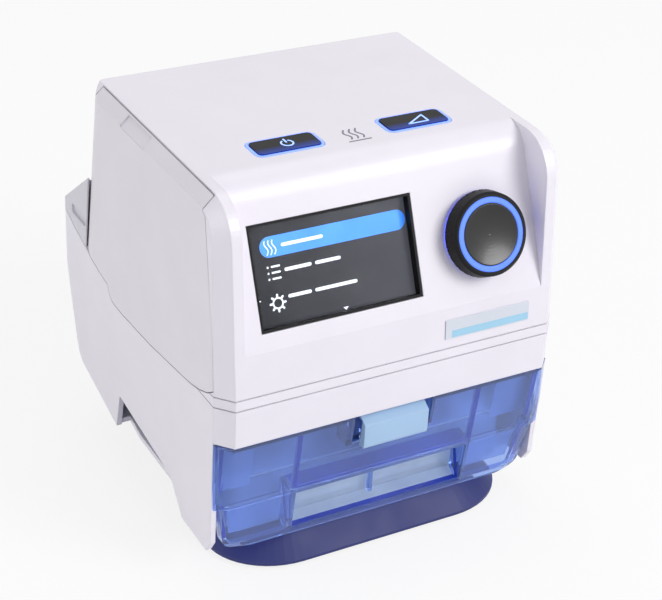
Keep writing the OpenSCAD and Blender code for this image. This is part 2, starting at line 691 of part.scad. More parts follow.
module motor_bearings() color(steel) at_origin() for (z = [motor_z, motor_z + motor_h - 2.5])
    tube_z(4, motor_shaft_r + 0.03, z, z + 2.5, blower_x, blower_y);
module motor_shaft() color(steel) at_origin() {
    rod_z(motor_shaft_r, volute_z + 4, motor_z + motor_h + 1, blower_x, blower_y);
    // Rotor magnet
    tube_z(motor_shaft_r + 5, motor_shaft_r - 0.4, motor_z + 4, motor_z + motor_h - 4, blower_x, blower_y);
}
impeller_z = volute_z + 5;
impeller_h = 10;
module impeller() color(soft_white) at_origin() translate([blower_x, blower_y, impeller_z]) difference() {
    union() {
        cylinder(h = 1.4, r = impeller_r, $fn = 96);
        cylinder(h = impeller_h, r = motor_shaft_r + 2.5, $fn = 48);
        for (i = [0:blades - 1]) rotate([0, 0, i * 360 / blades])
            translate([motor_shaft_r + 2, 0, 1.3]) rotate([0, 0, 28]) translate([0, -0.6, 0])
                cube([impeller_r - motor_shaft_r - 7, 1.2, impeller_h - 2]);
    }
    translate([0, 0, -1]) cylinder(h = 30, r = motor_shaft_r + 0.02, $fn = 48);
}
module blower_mounts() color(rubber) at_origin() for (p = blower_feet)
    rod_z(4.5, pan_z + wall + 1.5 + 0.1, volute_z - 0.1, p[0], p[1]);
module outlet_duct() color(pale_grey) at_origin()
    tube_z(duct_r + duct_wall, duct_r, pan_z + wall + 0.1, volute_z - 0.1, drop_x, drop_y);
foam_x = -inner_half + 4;
module muffler_foam() color(foam_grey) at_origin() difference() {
    block(foam_x, blower_x - volute_r - 3, blower_y - 22, rear_y - 9, pan_z + wall + seat, top_z - 24.2);
    block(foam_x + 10, blower_x - volute_r - 13, blower_y - 12, rear_y, seam_z + 20, top_z);
}
board_half = inner_half - 15.6;
board_y0 = 12;
board_y1 = blower_y - volute_r - 3;
board_z = pan_z + wall + 4;
board_t = 1.6;
module main_board() color(board_green) at_origin() {
    difference() {
        block(-board_half, board_half, board_y0, board_y1, board_z, board_z + board_t);
        for (x = [5 - board_half, board_half - 5], y = [board_y0 + 5, board_y1 - 5])
            rod_z(1.6, 0, above, x, y);
    }
    for (x = [12 - board_half, board_half - 12], y = [board_y0 + 5, board_y1 - 5])
        rod_z(2.4, pan_z + wall + 0.1, board_z + eps, x, y);
    // The two large chips
    block(-30, -12, board_y0 + 14, board_y0 + 30, board_z + board_t - eps, board_z + board_t + 2);
    block(18, 30, board_y0 + 24, board_y0 + 34, board_z + board_t - eps, board_z + board_t + 1.6);
}
connector_x = 30;
connector_y = blower_y - 28;
module connector(z0, z1) {
    block(connector_x - 8.6, connector_x + 8.6, connector_y - 3.6, connector_y + 3.6, z0, z1);
}
module connector_hole(z0, z1) {
    block(connector_x - 9, connector_x + 9, connector_y - 4, connector_y + 4, z0, z1);
}
module upper_connector() color(black) at_origin() connector(upper_z + 0.3, pan_z + wall + 4);
module lower_connector() color(black) at_origin() connector(deck_z - wall - 3, deck_z);

// ------------------------------------------------------ lower unit
module lower_plan(i) {
    r = rear_r - i;
    k = i * corner_share;
    polygon([[-half + i, corner_d + k], [-front_half + k, i], [front_half - k, i], [half - i, corner_d + k],
        [half - i, cabinet_d - rear_r], [-half + i, cabinet_d - rear_r]]);
    translate([-half + rear_r, corner_d + 20]) square([body_w - 2 * rear_r, cabinet_d - i - corner_d - 20]);
    for (s = [-1, 1]) translate([s * (half - rear_r), cabinet_d - rear_r]) circle(r, $fn = 64);
}
arch_y0 = 48.6;
arch_y1 = rear_y - 38.6;
arch_run = 12.3;
// Front edge of the casing's floor
floor_y = 26;
// Rear part of the underside, which rises to the back
rise_y = rear_y - 45;
rise = tan(14.6);
function under_z(y) = skirt_z + max(0, y - rise_y) * rise;
side_wall_edge = concat([[corner_d, deck_z], [22, deck_z]],
    [for (p = side_edge) if (p[0] > 25 && p[0] < rear_y) [p[0], p[1] - seam / 2]], [[rear_y, seam_z + 4.6]]);
module side_wall() {
    along_x(concat(side_wall_edge, [[rear_y, under_z(rear_y)], [arch_y1 + 4.1, under_z(arch_y1 + 4.1)],
        [arch_y1, arch_rear_z], [arch_y0, arch_front_z], [arch_y0 - arch_run, skirt_z],
        [corner_d + 5, skirt_z], [return_y(skirt_z + 6) + seam, skirt_z + 6], [corner_d, band_z]]),
        inner_half, half);
}
web_x = inner_half - seam - wall;
shoulder_z = seam_z - 10.8;
heater_y0 = tub_y + 12;
heater_y1 = tub_end - 10;
module lower_casing() color(white) at_origin() {
    difference() {
        union() {
            both_sides() {
                side_wall();
                block(web_x, half - eps, corner_d + 1, rear_y, shoulder_z, shoulder_z + wall);
                block(web_x, web_x + wall, corner_d + 1, rear_y, shoulder_z, deck_z);
                // Rear corner of the side wall
                intersection() { rear_shell(); corner_zone(seam / 2); }
            }
            // Header band with its chamfered corners
            difference() {
                intersection() {
                    translate([0, 0, band_z]) linear_extrude(deck_z - band_z) lower_plan(0);
                    block(-half, half, -1, corner_d + 2, 0, above);
                }
                translate([0, 0, band_z - 1]) linear_extrude(deck_z) lower_plan(wall);
            }
            intersection() {
                block(-web_x - wall, web_x + wall, wall - 0.2, rear_y + 4, deck_z - wall, deck_z);
                linear_extrude(above) lower_plan(wall - 0.2);
            }
            // Ridge behind the joint between the two units
            block(-front_half + 6, front_half - 6, wall + seam, wall + seam + 1.4,
                deck_z - eps, upper_z + ridge_h);
            along_x([[floor_y, skirt_z], [rise_y, skirt_z], [rear_y, under_z(rear_y)],
                [rear_y, under_z(rear_y) + wall], [rise_y - 0.3, floor_top], [floor_y, floor_top]],
                -half + ledge_inset, half - ledge_inset);
            both_sides() {
                along_x([[floor_y, skirt_z], [arch_y0 - arch_run, skirt_z],
                    [arch_y0 - arch_run, floor_top], [floor_y, floor_top]],
                    half - ledge_inset - eps, inner_half + eps);
                along_x([[arch_y1 + 5, under_z(arch_y1 + 5)], [rear_y, under_z(rear_y)],
                    [rear_y, under_z(rear_y) + wall], [arch_y1 + 5, under_z(arch_y1 + 5) + wall]],
                    half - ledge_inset - eps, inner_half + eps);
            }
        }
        rod_z(duct_r + duct_wall + seat, deck_z - wall - 1, deck_z + 1, drop_x, drop_y);
        connector_hole(deck_z - wall - 1, deck_z + 1);
        // Opening in the floor for the heater plate
        block(-base_half - 2, base_half + 2, heater_y0 - 2, heater_y1 + 2, 0, floor_top + 1);
    }
}

// Side profile of the rear housing, with the sloping top that meets the upper unit
function hump_top(y) = hump_z - (y - side_back(hump_z)) * tan(hump_slope);
hump_y = side_back(hump_z) - 4;
// The bulging rear face, as distance behind the joint and height
rear_curve = [[10.5, 31.5], [13, 37], [18.5, 56], [24, 76], [28.5, 90]];
function rear_profile(i) = concat([[rear_y - i, under_z(rear_y) + i], [rear_y + 7, under_z(rear_y + 7) + i],
    [rear_y + rear_curve[0][0] - i, rear_curve[0][1] + i]],
    [for (k = [1:len(rear_curve) - 1]) [rear_y + rear_curve[k][0] - i, rear_curve[k][1]]], [
    [cabinet_d - i, seam_z + 10], [cabinet_d - i, hump_top(cabinet_d - 2) - i],
    [cabinet_d - 2 - i, hump_top(cabinet_d - 2) - i * 1.25], [hump_y, hump_top(hump_y) - i * 1.25],
    [hump_y, seam_z - 3], [rear_y - i, seam_z - 3]
]);
module rear_solid(i) {
    intersection() {
        along_x(rear_profile(i), -half + i, half - i);
        translate([0, 0, 10]) linear_extrude(150) lower_plan(i);
    }
}
// The upper unit with g of room round its rear, above the deck
module upper_room(g) {
    intersection() { upper_plan(-g, 0); block(-half - 10, half + 10, 0, cabinet_d, seam_z - 2 - g, above); }
}
// The walls behind the upper unit and the chamber bay
module rear_shell() difference() {
    rear_solid(0);
    upper_room(seam);
    side_cover_room();
    difference() {
        rear_solid(wall);
        difference() { upper_room(seam + wall); block(-half, half, 0, rear_y + 3, 0, seam_z - 2); }
    }
}
// The corners of that shell that the side walls run on into
module corner_zone(g) {
    along_x(concat(raised(rear_edge, -g),
        [[cabinet_d + 2, 0], [rear_y - 1, 0], [rear_y - 1, seam_z + 4.4 - g]]),
        half - rear_r - 2 + g, half + 1);
}
// Shallow grip in each side of the rear housing
side_grip_top = hump_z - 22;
side_grip_h = 4.8;
module side_grip() {
    both_sides() translate([half - 1.2, 0, 0]) rotate([90, 0, 90]) linear_extrude(3)
        round_rect(rear_y - 1.5, rear_y + 15, side_grip_top - side_grip_h, side_grip_top, side_grip_h / 3);
}
module rear_housing() color(side_white) at_origin() difference() {
    rear_shell();
    both_sides() corner_zone(-seam / 2);
    side_grip();
    // Keep clear of the lower casing's deck and side walls
    block(-inner_half - seam, inner_half + seam, 0, rear_y + 4.5, deck_z - wall - 1, deck_z + 1);
    block(-half, half, 0, rear_y + seam, 0, deck_z);
    // Holes for the hose port and the power inlet
    rod_y(port_r + 1.5, rear_y, cabinet_d + 1, port_x, port_z);
    block(inlet_x - 11, inlet_x + 11, rear_y + 7, cabinet_d + 1, inlet_z - 9, inlet_z + 9);
}
// Space behind the side covers' rear edge
module side_cover_room() {
    both_sides() along_x([[100, deck_z - 2], [rear_y, deck_z - 2], [rear_y, side_end[1] - seam / 2],
        [side_back(side_end[1]) + seam, side_end[1] - seam / 2],
        [side_back(hump_z + 10) + seam, hump_z + 10], [100, hump_z + 10]], inner_half - 3, half + 5);
}

lip_top_y = 16;
lip_top_half = 61;
lip_back = 38;
tray_z = foot_t + seat;
tray_top = skirt_z - seat;
// Half width w, front at y0, with corners that are quarter ellipses of cw by cd
module lip_slab(w, y0, cw, cd, z, i) {
    right = [for (a = [0:7.5:90]) [w - cw + (cw - i) * sin(a), y0 + cd - (cd - i) * cos(a)]];
    translate([0, 0, z]) linear_extrude(eps)
        polygon(concat(right, [[w - i, lip_back - i], [-w + i, lip_back - i]],
            [for (k = [len(right) - 1:-1:0]) [-right[k][0], right[k][1]]]));
}
module tray_front(i) {
    hull() {
        lip_slab(lip_half, lip_y, lip_corner_w, lip_corner_d, tray_z + i, i);
        lip_slab(lip_half, lip_y, lip_corner_w, lip_corner_d, tray_z + 1.4, i);
        lip_slab(lip_top_half, lip_top_y, lip_corner_w - 8, lip_corner_d - 8, tray_top - eps + i, i);
    }
}
module tray_rear(i) {
    along_x([[lip_back - 6 - i, tray_z + i], [plinth_y - i, tray_z + i],
        [plinth_y - i, under_z(plinth_y) - seat + 2 * i],
        [rise_y, tray_top + 2 * i], [lip_back - 6 - i, tray_top + 2 * i]], -plinth_half + i, plinth_half - i);
}
module base_tray() color(navy) at_origin() difference() {
    union() { tray_front(0); tray_rear(0); }
    difference() {
        union() { tray_front(wall); tray_rear(wall); }
        // Closed skin above the lip's slope
        block(-half, half, -5, heater_y0 - 6, 0, tray_top + 9);
    }
    block(-plinth_half + 4, plinth_half - 4, heater_y0 - 4, heater_y1 + 4, tray_z + wall, 60);
}
feet_at = [for (x = [-1, 1], y = [26, plinth_y - 14]) [x * (plinth_half - 12), y]];
module rubber_feet() color(rubber) at_origin() for (p = feet_at) rod_z(foot_r, 0, foot_t, p[0], p[1]);
module chamber_runners() color(pale_grey) at_origin() both_sides()
    block(tub_half + seat, inner_half - seat, 30, tub_end + 2, floor_top + 23, floor_top + 27);

// ------------------------------------------------------ heater
heater_top = floor_top + 1.1;
module heater_plate() color(silver) at_origin()
    block(-base_half + 2, base_half - 2, heater_y0 + 2, heater_y1 - 2, heater_top - 2.6, heater_top);
module heater_pad() color(copper) at_origin()
    block(-base_half + 6, base_half - 6, heater_y0 + 6, heater_y1 - 6, heater_top - 3.5, heater_top - 2.7);
module heater_mounts() color(rubber) at_origin() for (x = [-1, 1], y = [heater_y0 + 4, heater_y1 - 4])
    rod_z(1.8, tray_z + wall + 0.1, heater_top - 2.7, x * (base_half - 4), y);

// ------------------------------------------------------ air path, lower unit
plate_y = tub_end + 3.2;
elbow = duct_r + duct_wall + 1;
module air_manifold() color(pale_grey) at_origin() difference() {
    union() {
        block(port_x - 16, drop_x + 13, plate_y, plate_y + 2.4, port_z - 14, port_z + 13);
        rod_y(duct_r + duct_wall, plate_y + 2, cabinet_d - 14, port_x, port_z);
        block(drop_x - elbow, drop_x + elbow, plate_y + 2, drop_y + elbow, port_z - elbow, port_z + elbow);
        rod_z(duct_r + duct_wall, port_z + elbow - 1, deck_z - 1.2, drop_x, drop_y);
        // Foot that stands on the floor
        block(port_x - 6, drop_x - 14, plate_y, plate_y + 2.4, under_z(plate_y) + wall + 1, port_z - 13);
    }
    rod_y(duct_r, plate_y - 1, cabinet_d, port_x, port_z);
    rod_y(duct_r, plate_y - 1, drop_y + 4, drop_x, port_z);
    rod_z(duct_r - 0.4, port_z, above, drop_x, drop_y);
}
module port_seals() color(soft_white) at_origin() for (x = [port_x, drop_x])
    tube_y(duct_r + 2.6, duct_r, tub_end + 1.3, plate_y - 0.1, x, port_z);
module coupling_seal() color(soft_white) at_origin()
    tube_z(duct_r + duct_wall, duct_r, deck_z - 1.1, deck_z + 0.2, drop_x, drop_y);
module hose_port() color(pale_grey) at_origin() difference() {
    union() {
        rod_y(port_r, cabinet_d - 13.8, cabinet_d + port_len, port_x, port_z);
        rod_y(port_r + 1, cabinet_d - 13.8, cabinet_d - 3, port_x, port_z);
    }
    rod_y(duct_r + 0.5, 0, cabinet_d + port_len + 1, port_x, port_z);
}
inlet_back = cabinet_d - 5;
module power_inlet() color(black) at_origin() {
    difference() {
        block(inlet_x - 10.6, inlet_x + 10.6, inlet_back - 16, inlet_back, inlet_z - 8.6, inlet_z + 8.6);
        rod_y(socket_r, inlet_back - 9, inlet_back + 1, inlet_x, inlet_z);
    }
    rod_y(1.2, inlet_back - 10, inlet_back - 2, inlet_x, inlet_z);
}
module power_board() color(board_green) at_origin() {
    block(inlet_x - 24, inlet_x + 22, inlet_back - 19.4, inlet_back - 17.8, inlet_z - 26, inlet_z + 18);
    block(inlet_x - 6, inlet_x + 6, inlet_back - 17.8 - eps, inlet_back - 16.3, inlet_z - 6, inlet_z + 6);
}

// ------------------------------------------------------ water chamber
// Where the panel's corners end against the side walls
function return_y(z) = corner_d - seam + panel_y(z) * 0.16;
// Distance of the panel's lower part inside the cabinet's sides
function box_tuck(z) = box_inset + (ledge_z - z) * tan(box_lean);
// Section of the panel at height z, t inside the sides, from front to back, inset by i
module panel_slab(z, i, t, front, side, back) {
    k = i * corner_share;
    translate([0, 0, z]) linear_extrude(eps) polygon([
        [-half + t + i, side + k], [-front_half + t + k, front + i], [front_half - t - k, front + i],
        [half - t - i, side + k], [half - t - i, back], [-half + t + i, back]]);
}
module panel_top_part(i) hull() {
    for (p = [[panel_top - eps - i, 0], [ledge_z + 12, 0], [ledge_z + i, 0.6]])
        panel_slab(p[0], i, p[1], panel_y(p[0]), return_y(p[0]), return_y(p[0]) + (i > 0 ? 6 : eps));
}
box_back = tub_y - 2.6;
module box_slab(z, i, t) {
    front = panel_y(z) + ledge_step;
    back = box_back - max(0, panel_z + 3 - z) * 1.2 + (i > 0 ? 4 : 0);
    panel_slab(z, i, t, front, front + 1.8, back);
}
// Lower part of the panel, a box that fits between the side walls
module panel_box(i) hull() {
    corner_z = panel_z + box_r;
    for (a = [0:22.5:90])
        box_slab(corner_z - (box_r - i) * sin(a), i, box_tuck(corner_z) + (box_r - i) * (1 - cos(a)));
    box_slab(ledge_z + (i > 0 ? i + 1 : eps), i, box_tuck(ledge_z));
}
panel_wall = 2.2;
rib_t = 1.6;
rib_d = 2.2;
rib_top = panel_top - 3;
pocket_half = latch_w / 2 + pocket_gap;
pocket_z = panel_top - 5;
pocket_y = latch_y + 6.4 + seat;
stem_half = 5;
stem_y = latch_y + 12;
nest_z = panel_top - latch_h + 2;
module chamber_front() color(clear_blue) at_origin() difference() {
    union() {
        difference() {
            union() { panel_top_part(0); panel_box(0); }
            panel_top_part(panel_wall);
            panel_box(panel_wall);
            // Finger recess under the upper part, above the panel's bottom edge
            block(-grip_half, grip_half, -5, tub_y, panel_z + panel_wall, grip_z);
        }
        // Sides and roof of the finger recess
        both_sides() along_x([[panel_y(grip_z) + 1, grip_z + panel_wall], [tub_y - seat, grip_z + panel_wall],
            [tub_y - seat, tub_z], [box_back - 2.6, panel_z + 1], [panel_y(panel_z) + ledge_step + 1, panel_z + 1]],
            grip_half - eps, grip_half + panel_wall);
        block(-grip_half - 1, grip_half + 1, panel_y(grip_z) + 1, tub_y - seat, grip_z, grip_z + panel_wall);
        // Ribs behind the panel, from its top down to the sides of the recess
        both_sides() along_x([for (e = [[1, rib_top], [panel_wall + rib_d, rib_top],
            [panel_wall + rib_d, grip_z + 1], [1, grip_z + 1]]) [panel_y(e[1]) + e[0], e[1]]],
            grip_half, grip_half + rib_t);
        // Rib in the middle of the recess
        block(-rib_t / 2, rib_t / 2, tub_y - seat - rib_d, tub_y - seat, tub_z, grip_z + 1);
        // Housing behind the latch
        along_x([[panel_y(nest_z) + 0.6, nest_z - panel_wall],
            [stem_y + seat + panel_wall, nest_z - panel_wall], [stem_y + seat + panel_wall, panel_top],
            [panel_y(panel_top) + 0.6, panel_top]], -pocket_half - panel_wall, pocket_half + panel_wall);
    }
    // Pocket round the top and the sides of the latch
    block(-pocket_half, pocket_half, -5, pocket_y, pocket_z, 100);
    both_sides() block(latch_w / 2 - 1, pocket_half, -5, pocket_y, nest_z - 1, 100);
    // Nest of the latch's stem and spring
    block(-stem_half - seat, stem_half + seat, pocket_y - 0.5, stem_y + seat, nest_z, 100);
}
module tub_plan(i, y0) { round_rect(-tub_half + i, tub_half - i, y0 + i, tub_end - i, tub_r - i); }
module chamber_tub() color(clear_blue) at_origin() {
    difference() {
        translate([0, 0, tub_z]) linear_extrude(tub_top - tub_z) tub_plan(0, tub_y);
        translate([0, 0, tub_z + tub_wall]) linear_extrude(tub_top) tub_plan(tub_wall, tub_y);
        block(-base_half, base_half, heater_y0, heater_y1, 0, tub_top);
    }
}
module chamber_base() color(silver) at_origin() {
    block(-base_half + 0.1, base_half - 0.1, heater_y0 + 0.1, heater_y1 - 0.1, tub_z, tub_z + 1.2);
    block(-base_half - 1.4, base_half + 1.4, heater_y0 - 1.4, heater_y1 + 1.4,
        tub_z + tub_wall + 0.1, tub_z + tub_wall + 1);
    block(-base_half + 1, base_half - 1, heater_y0 + 1, heater_y1 - 1,
        tub_z + 1.2 - eps, tub_z + tub_wall + 0.2);
}
module lid_seal() color(soft_white) at_origin() difference() {
    translate([0, 0, tub_top + 0.1]) linear_extrude(lid_seal_t - 0.2) tub_plan(0.4, tub_y);
    linear_extrude(above) tub_plan(tub_wall + 0.6, tub_y);
}
lid_z = tub_top + lid_seal_t;
module chamber_lid() color(clear_blue) at_origin() difference() {
    union() {
        translate([0, 0, lid_z]) linear_extrude(lid_top - lid_z) tub_plan(0, tub_y);
        for (x = [port_x, drop_x]) rod_y(duct_r + duct_wall, tub_end - 4, tub_end + 1, x, port_z);
    }
    translate([0, 0, lid_z - 1]) linear_extrude(lid_top - tub_wall - lid_z + 1) tub_plan(tub_wall, tub_y);
    for (x = [port_x, drop_x]) rod_y(duct_r, tub_end - 20, tub_end + 3, x, port_z);
}
// Two crossed ribs that keep the water from the air ports
baffle_half = base_half + 4;
baffle_y = tub_y + 30;
baffle_t = 1.6;
module chamber_baffle() color(clear_blue) at_origin() {
    baffle_top = lid_top - tub_wall - seat;
    block(-baffle_t / 2, baffle_t / 2, tub_y + tub_wall + 1, baffle_y + 12, lid_z + 4, baffle_top);
    block(-baffle_half, baffle_half, baffle_y, baffle_y + baffle_t, lid_z + 4, baffle_top);
}

// ------------------------------------------------------ latch
foot_z = panel_top - latch_h;
heel_z = pocket_z + latch_travel + 0.2;
module chamber_latch() color(pale_blue) at_origin() {
    along_x([[latch_y + 0.5, foot_z], [latch_y, foot_z + 1.5], [latch_y, panel_top - 3.6],
        [latch_y + 5.2, panel_top - 0.5], [latch_y + 6.4, panel_top - 0.5], [latch_y + 6.4, heel_z],
        [panel_y(heel_z) - seat, heel_z], [panel_y(foot_z) - seat, foot_z]], -latch_w / 2, latch_w / 2);
    block(-stem_half, stem_half, latch_y + 6.4 - eps, stem_y, heel_z, panel_top - 0.6);
}
// A helical compression spring, swept as one coil of round wire
spring_r = 2.4;
wire_r = 0.35;
spring_turns = 5;
spring_z = nest_z + wire_r + 0.05;
spring_h = heel_z - nest_z - 2 * wire_r - 0.1;
module latch_spring() color(steel) at_origin() translate([0, (pocket_y - 0.5 + stem_y + seat) / 2, spring_z]) {
    steps = spring_turns * 16;
    pitch = atan2(spring_h, spring_turns * 2 * PI * spring_r);
    rings = [for (k = [0:steps]) let (a = k * 360 / 16) [for (j = [0:7]) let (b = j * 45)
        [(spring_r + wire_r * cos(b)) * cos(a) + wire_r * sin(b) * sin(pitch) * sin(a),
         (spring_r + wire_r * cos(b)) * sin(a) - wire_r * sin(b) * sin(pitch) * cos(a),
         spring_h * k / steps + wire_r * sin(b) * cos(pitch)]]];
    points = [for (r = rings) each r];
    sides = [for (k = [0:steps - 1], j = [0:7]) let (n = (j + 1) % 8)
        [k * 8 + n, (k + 1) * 8 + n, (k + 1) * 8 + j, k * 8 + j]];
    polyhedron(points, concat(sides, [[for (j = [7:-1:0]) j], [for (j = [0:7]) steps * 8 + j]]), convexity = 6);
}

front_screw_y = 58;
screw_at = [for (x = [-1, 1], y = [front_screw_y, plinth_y - 20]) [x * (plinth_half - 6), y]];
module casing_screws() color(steel) at_origin() for (p = screw_at) {
    rod_z(1.5, tray_z + wall, skirt_z - 1, p[0], p[1]);
    rod_z(3, tray_z + wall + 0.1, tray_z + wall + 1.6, p[0], p[1]);
}

top_cover();
left_side_cover();
right_side_cover();
rear_cover();
chassis();
screen_bezel();
display_lens();
lcd_module();
display_board();
main_board();
name_plate();
encoder_body();
encoder_shaft();
encoder_plunger();
dial_skirt();
dial_ring();
dial_cap();
dial_light_ring();
button_frames();
power_button();
ramp_button();
button_board();
tactile_switches();
volute();
volute_cover();
motor_housing();
motor_stator();
motor_bearings();
motor_shaft();
impeller();
blower_mounts();
muffler_foam();
intake_filter();
filter_cover();
outlet_duct();
upper_connector();
lower_casing();
rear_housing();
base_tray();
rubber_feet();
chamber_runners();
heater_plate();
heater_pad();
heater_mounts();
air_manifold();
port_seals();
coupling_seal();
hose_port();
power_inlet();
power_board();
lower_connector();
chamber_front();
chamber_tub();
chamber_lid();
lid_seal();
chamber_base();
chamber_baffle();
chamber_latch();
latch_spring();
casing_screws();
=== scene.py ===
# %% [markdown]
# # A bedside CPAP machine with its water chamber
# The machine blows air through warm water for a sleeper. It has a white upper unit with a
# screen, a dial and two keys, and a lower unit with a clear blue water chamber that draws
# out to the front. The solids come from the CAD frame, and this lesson gives them their
# finishes and adds the fine pieces that the solids leave out. Everything is in metres, in
# the same place as in the CAD, so a new piece goes where the CAD says.

# %% Open the frame
from math import cos, pi, radians, sin
import bmesh
import bpy
from mathutils import Matrix, Vector


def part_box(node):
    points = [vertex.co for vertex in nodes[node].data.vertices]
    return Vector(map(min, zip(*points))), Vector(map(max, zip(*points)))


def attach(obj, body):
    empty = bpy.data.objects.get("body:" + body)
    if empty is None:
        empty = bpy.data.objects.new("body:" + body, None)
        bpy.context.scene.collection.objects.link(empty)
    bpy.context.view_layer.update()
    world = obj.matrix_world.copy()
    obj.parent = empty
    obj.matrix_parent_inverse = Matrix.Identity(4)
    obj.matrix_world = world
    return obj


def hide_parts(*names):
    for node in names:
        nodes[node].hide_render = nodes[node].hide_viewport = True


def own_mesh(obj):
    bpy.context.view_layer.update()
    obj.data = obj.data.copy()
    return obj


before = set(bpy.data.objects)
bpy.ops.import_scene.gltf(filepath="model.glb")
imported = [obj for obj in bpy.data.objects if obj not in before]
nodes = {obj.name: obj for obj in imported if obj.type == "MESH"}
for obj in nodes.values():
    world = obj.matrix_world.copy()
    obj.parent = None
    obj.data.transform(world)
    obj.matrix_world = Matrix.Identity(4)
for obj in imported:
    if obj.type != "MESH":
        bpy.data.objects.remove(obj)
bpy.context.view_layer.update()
MM = 0.001

# %% [markdown]
# The lower unit's front is the plane that all depths are counted from, as a maker would do
# on a drawing. `at` turns such millimetres into a point of the frame. The fascia that holds
# the screen and the dial leans back, so it gets a frame of its own: along it, up its slope,
# and out from it.

# %% Places on the machine
front_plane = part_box("lower_casing")[0].y
top_height = 175.2                       # mm above the table
fascia_tilt = radians(22.6)
fascia_foot = Vector((0, 2.173, 112.2))  # mm behind the front plane and above the table
fascia_up = Vector((0, sin(fascia_tilt), cos(fascia_tilt)))
fascia_out = Vector((0, -cos(fascia_tilt), sin(fascia_tilt)))


def at(x, y, z):
    """The point x to the right, y behind the front plane and z above the table."""
    return Vector((x * MM, y * MM + front_plane, z * MM))


def on_fascia(x, up, out):
    """A place up the fascia's slope from its foot, and out from its face."""
    p = fascia_foot + fascia_up * up + fascia_out * out
    return at(x, p.y, p.z)


def on_top(x, y, out):
    """A place above the flat top."""
    return at(x, y, top_height + out)


print("front plane at y =", round(front_plane, 5))

# %% [markdown]
# ## Camera
# The photograph is taken from the front left and from above with a long lens. A camera is
# an object whose matrix has four columns: its right, its up, the way back to the viewer and
# its place. Building the matrix from three angles keeps each of them a value that can be
# changed, which is why this way was chosen over typing a place and three Euler angles.

# %% Place the camera
view_azimuth, view_height, view_roll = radians(-30.01), radians(30.227), radians(3.10)
view_distance = 760 * MM
view_target = at(-0.26, 57.53, 92.12)
photo_width, focal_length = 662, 1755.35    # pixels of the photograph
sensor_width = 36                           # mm, the width that Blender's lenses are meant for
back = Vector((sin(view_azimuth) * cos(view_height), -cos(view_azimuth) * cos(view_height),
               sin(view_height)))
across = Vector((cos(view_azimuth), sin(view_azimuth), 0))
steep = back.cross(across)
right = cos(view_roll) * across + sin(view_roll) * steep
up = cos(view_roll) * steep - sin(view_roll) * across
camera_data = bpy.data.cameras.new("photo_camera")
camera_data.lens = sensor_width * focal_length / photo_width
camera = bpy.data.objects.new("photo_camera", camera_data)
camera.matrix_world = Matrix.Translation(view_target + view_distance * back) @ Matrix(
    (right, up, back)).transposed().to_4x4()
bpy.context.scene.collection.objects.link(camera)
bpy.context.scene.camera = camera
bpy.context.scene.view_settings.view_transform = "Standard"
print("lens", round(camera_data.lens, 1), "mm at", camera.location)

# %% [markdown]
# ## Studio
# A product studio has a pale sweep below the object and large soft lamps. An area lamp is
# Blender's softbox. Its light falls with the square of its distance, so the helper takes
# the share of full brightness that it should give at the object and works out the watts.
# The lamps stay at a level where a colour renders about as it is written.

# %% Lamps
def softbox(name, azimuth, height, share, size, distance=1.7):
    """A soft lamp that looks at the machine. Azimuth 0 is in front, positive to the right."""
    a, h = radians(azimuth), radians(height)
    way = Vector((sin(a) * cos(h), -cos(a) * cos(h), sin(h)))
    lamp = bpy.data.lights.new(name, "AREA")
    lamp.shape = "DISK"
    lamp.size = size
    lamp.energy = share * (pi * distance) ** 2
    holder = bpy.data.objects.new(name, lamp)
    holder.matrix_world = Matrix.Translation(view_target + distance * way) @ way.to_track_quat(
        "Z", "Y").to_matrix().to_4x4()
    bpy.context.scene.collection.objects.link(holder)
    print(name, round(lamp.energy, 1), "W")


softbox("key_lamp", 34, 34, 0.58, 0.9)
softbox("side_lamp", -92, 18, 0.22, 1.2)
softbox("top_lamp", 160, 66, 0.16, 1.2)

# %% [markdown]
# The world is the light of the white room. Where the camera looks past the floor it sees
# plain white, and so do mirror and glass rays, so that gloss shows the same studio.

# %% World
world = bpy.data.worlds.new("white_room")
bpy.context.scene.world = world
world.use_nodes = True
room_nodes, room_links = world.node_tree.nodes, world.node_tree.links
room_light = room_nodes["Background"]
room_light.inputs["Color"].default_value = (0.97, 0.98, 1, 1)
room_light.inputs["Strength"].default_value = 0.5
seen_white = room_nodes.new("ShaderNodeBackground")
seen_white.inputs["Color"].default_value = (1, 1, 1, 1)
seen_white.inputs["Strength"].default_value = 1


def seen_rays(tree):
    """1 for the camera's own rays and for mirror and glass rays, else 0."""
    ray = tree.nodes.new("ShaderNodeLightPath")
    total = ray.outputs["Is Camera Ray"]
    for kind in ("Is Glossy Ray", "Is Transmission Ray"):
        larger = tree.nodes.new("ShaderNodeMath")
        larger.operation = "MAXIMUM"
        tree.links.new(total, larger.inputs[0])
        tree.links.new(ray.outputs[kind], larger.inputs[1])
        total = larger.outputs[0]
    return total


choose = room_nodes.new("ShaderNodeMixShader")
room_links.new(seen_rays(world.node_tree), choose.inputs[0])
room_links.new(room_light.outputs[0], choose.inputs[1])
room_links.new(seen_white.outputs[0], choose.inputs[2])
room_links.new(choose.outputs[0], room_nodes["World Output"].inputs["Surface"])
print("the room gives", room_light.inputs["Strength"].default_value, "of white")

# %% [markdown]
# The floor is a plain sheet. About a fifth of what the camera sees of it is lit paper, which
# takes the machine's soft shadow, and the rest glows white, so that the paper runs out into
# the white background of the photograph.

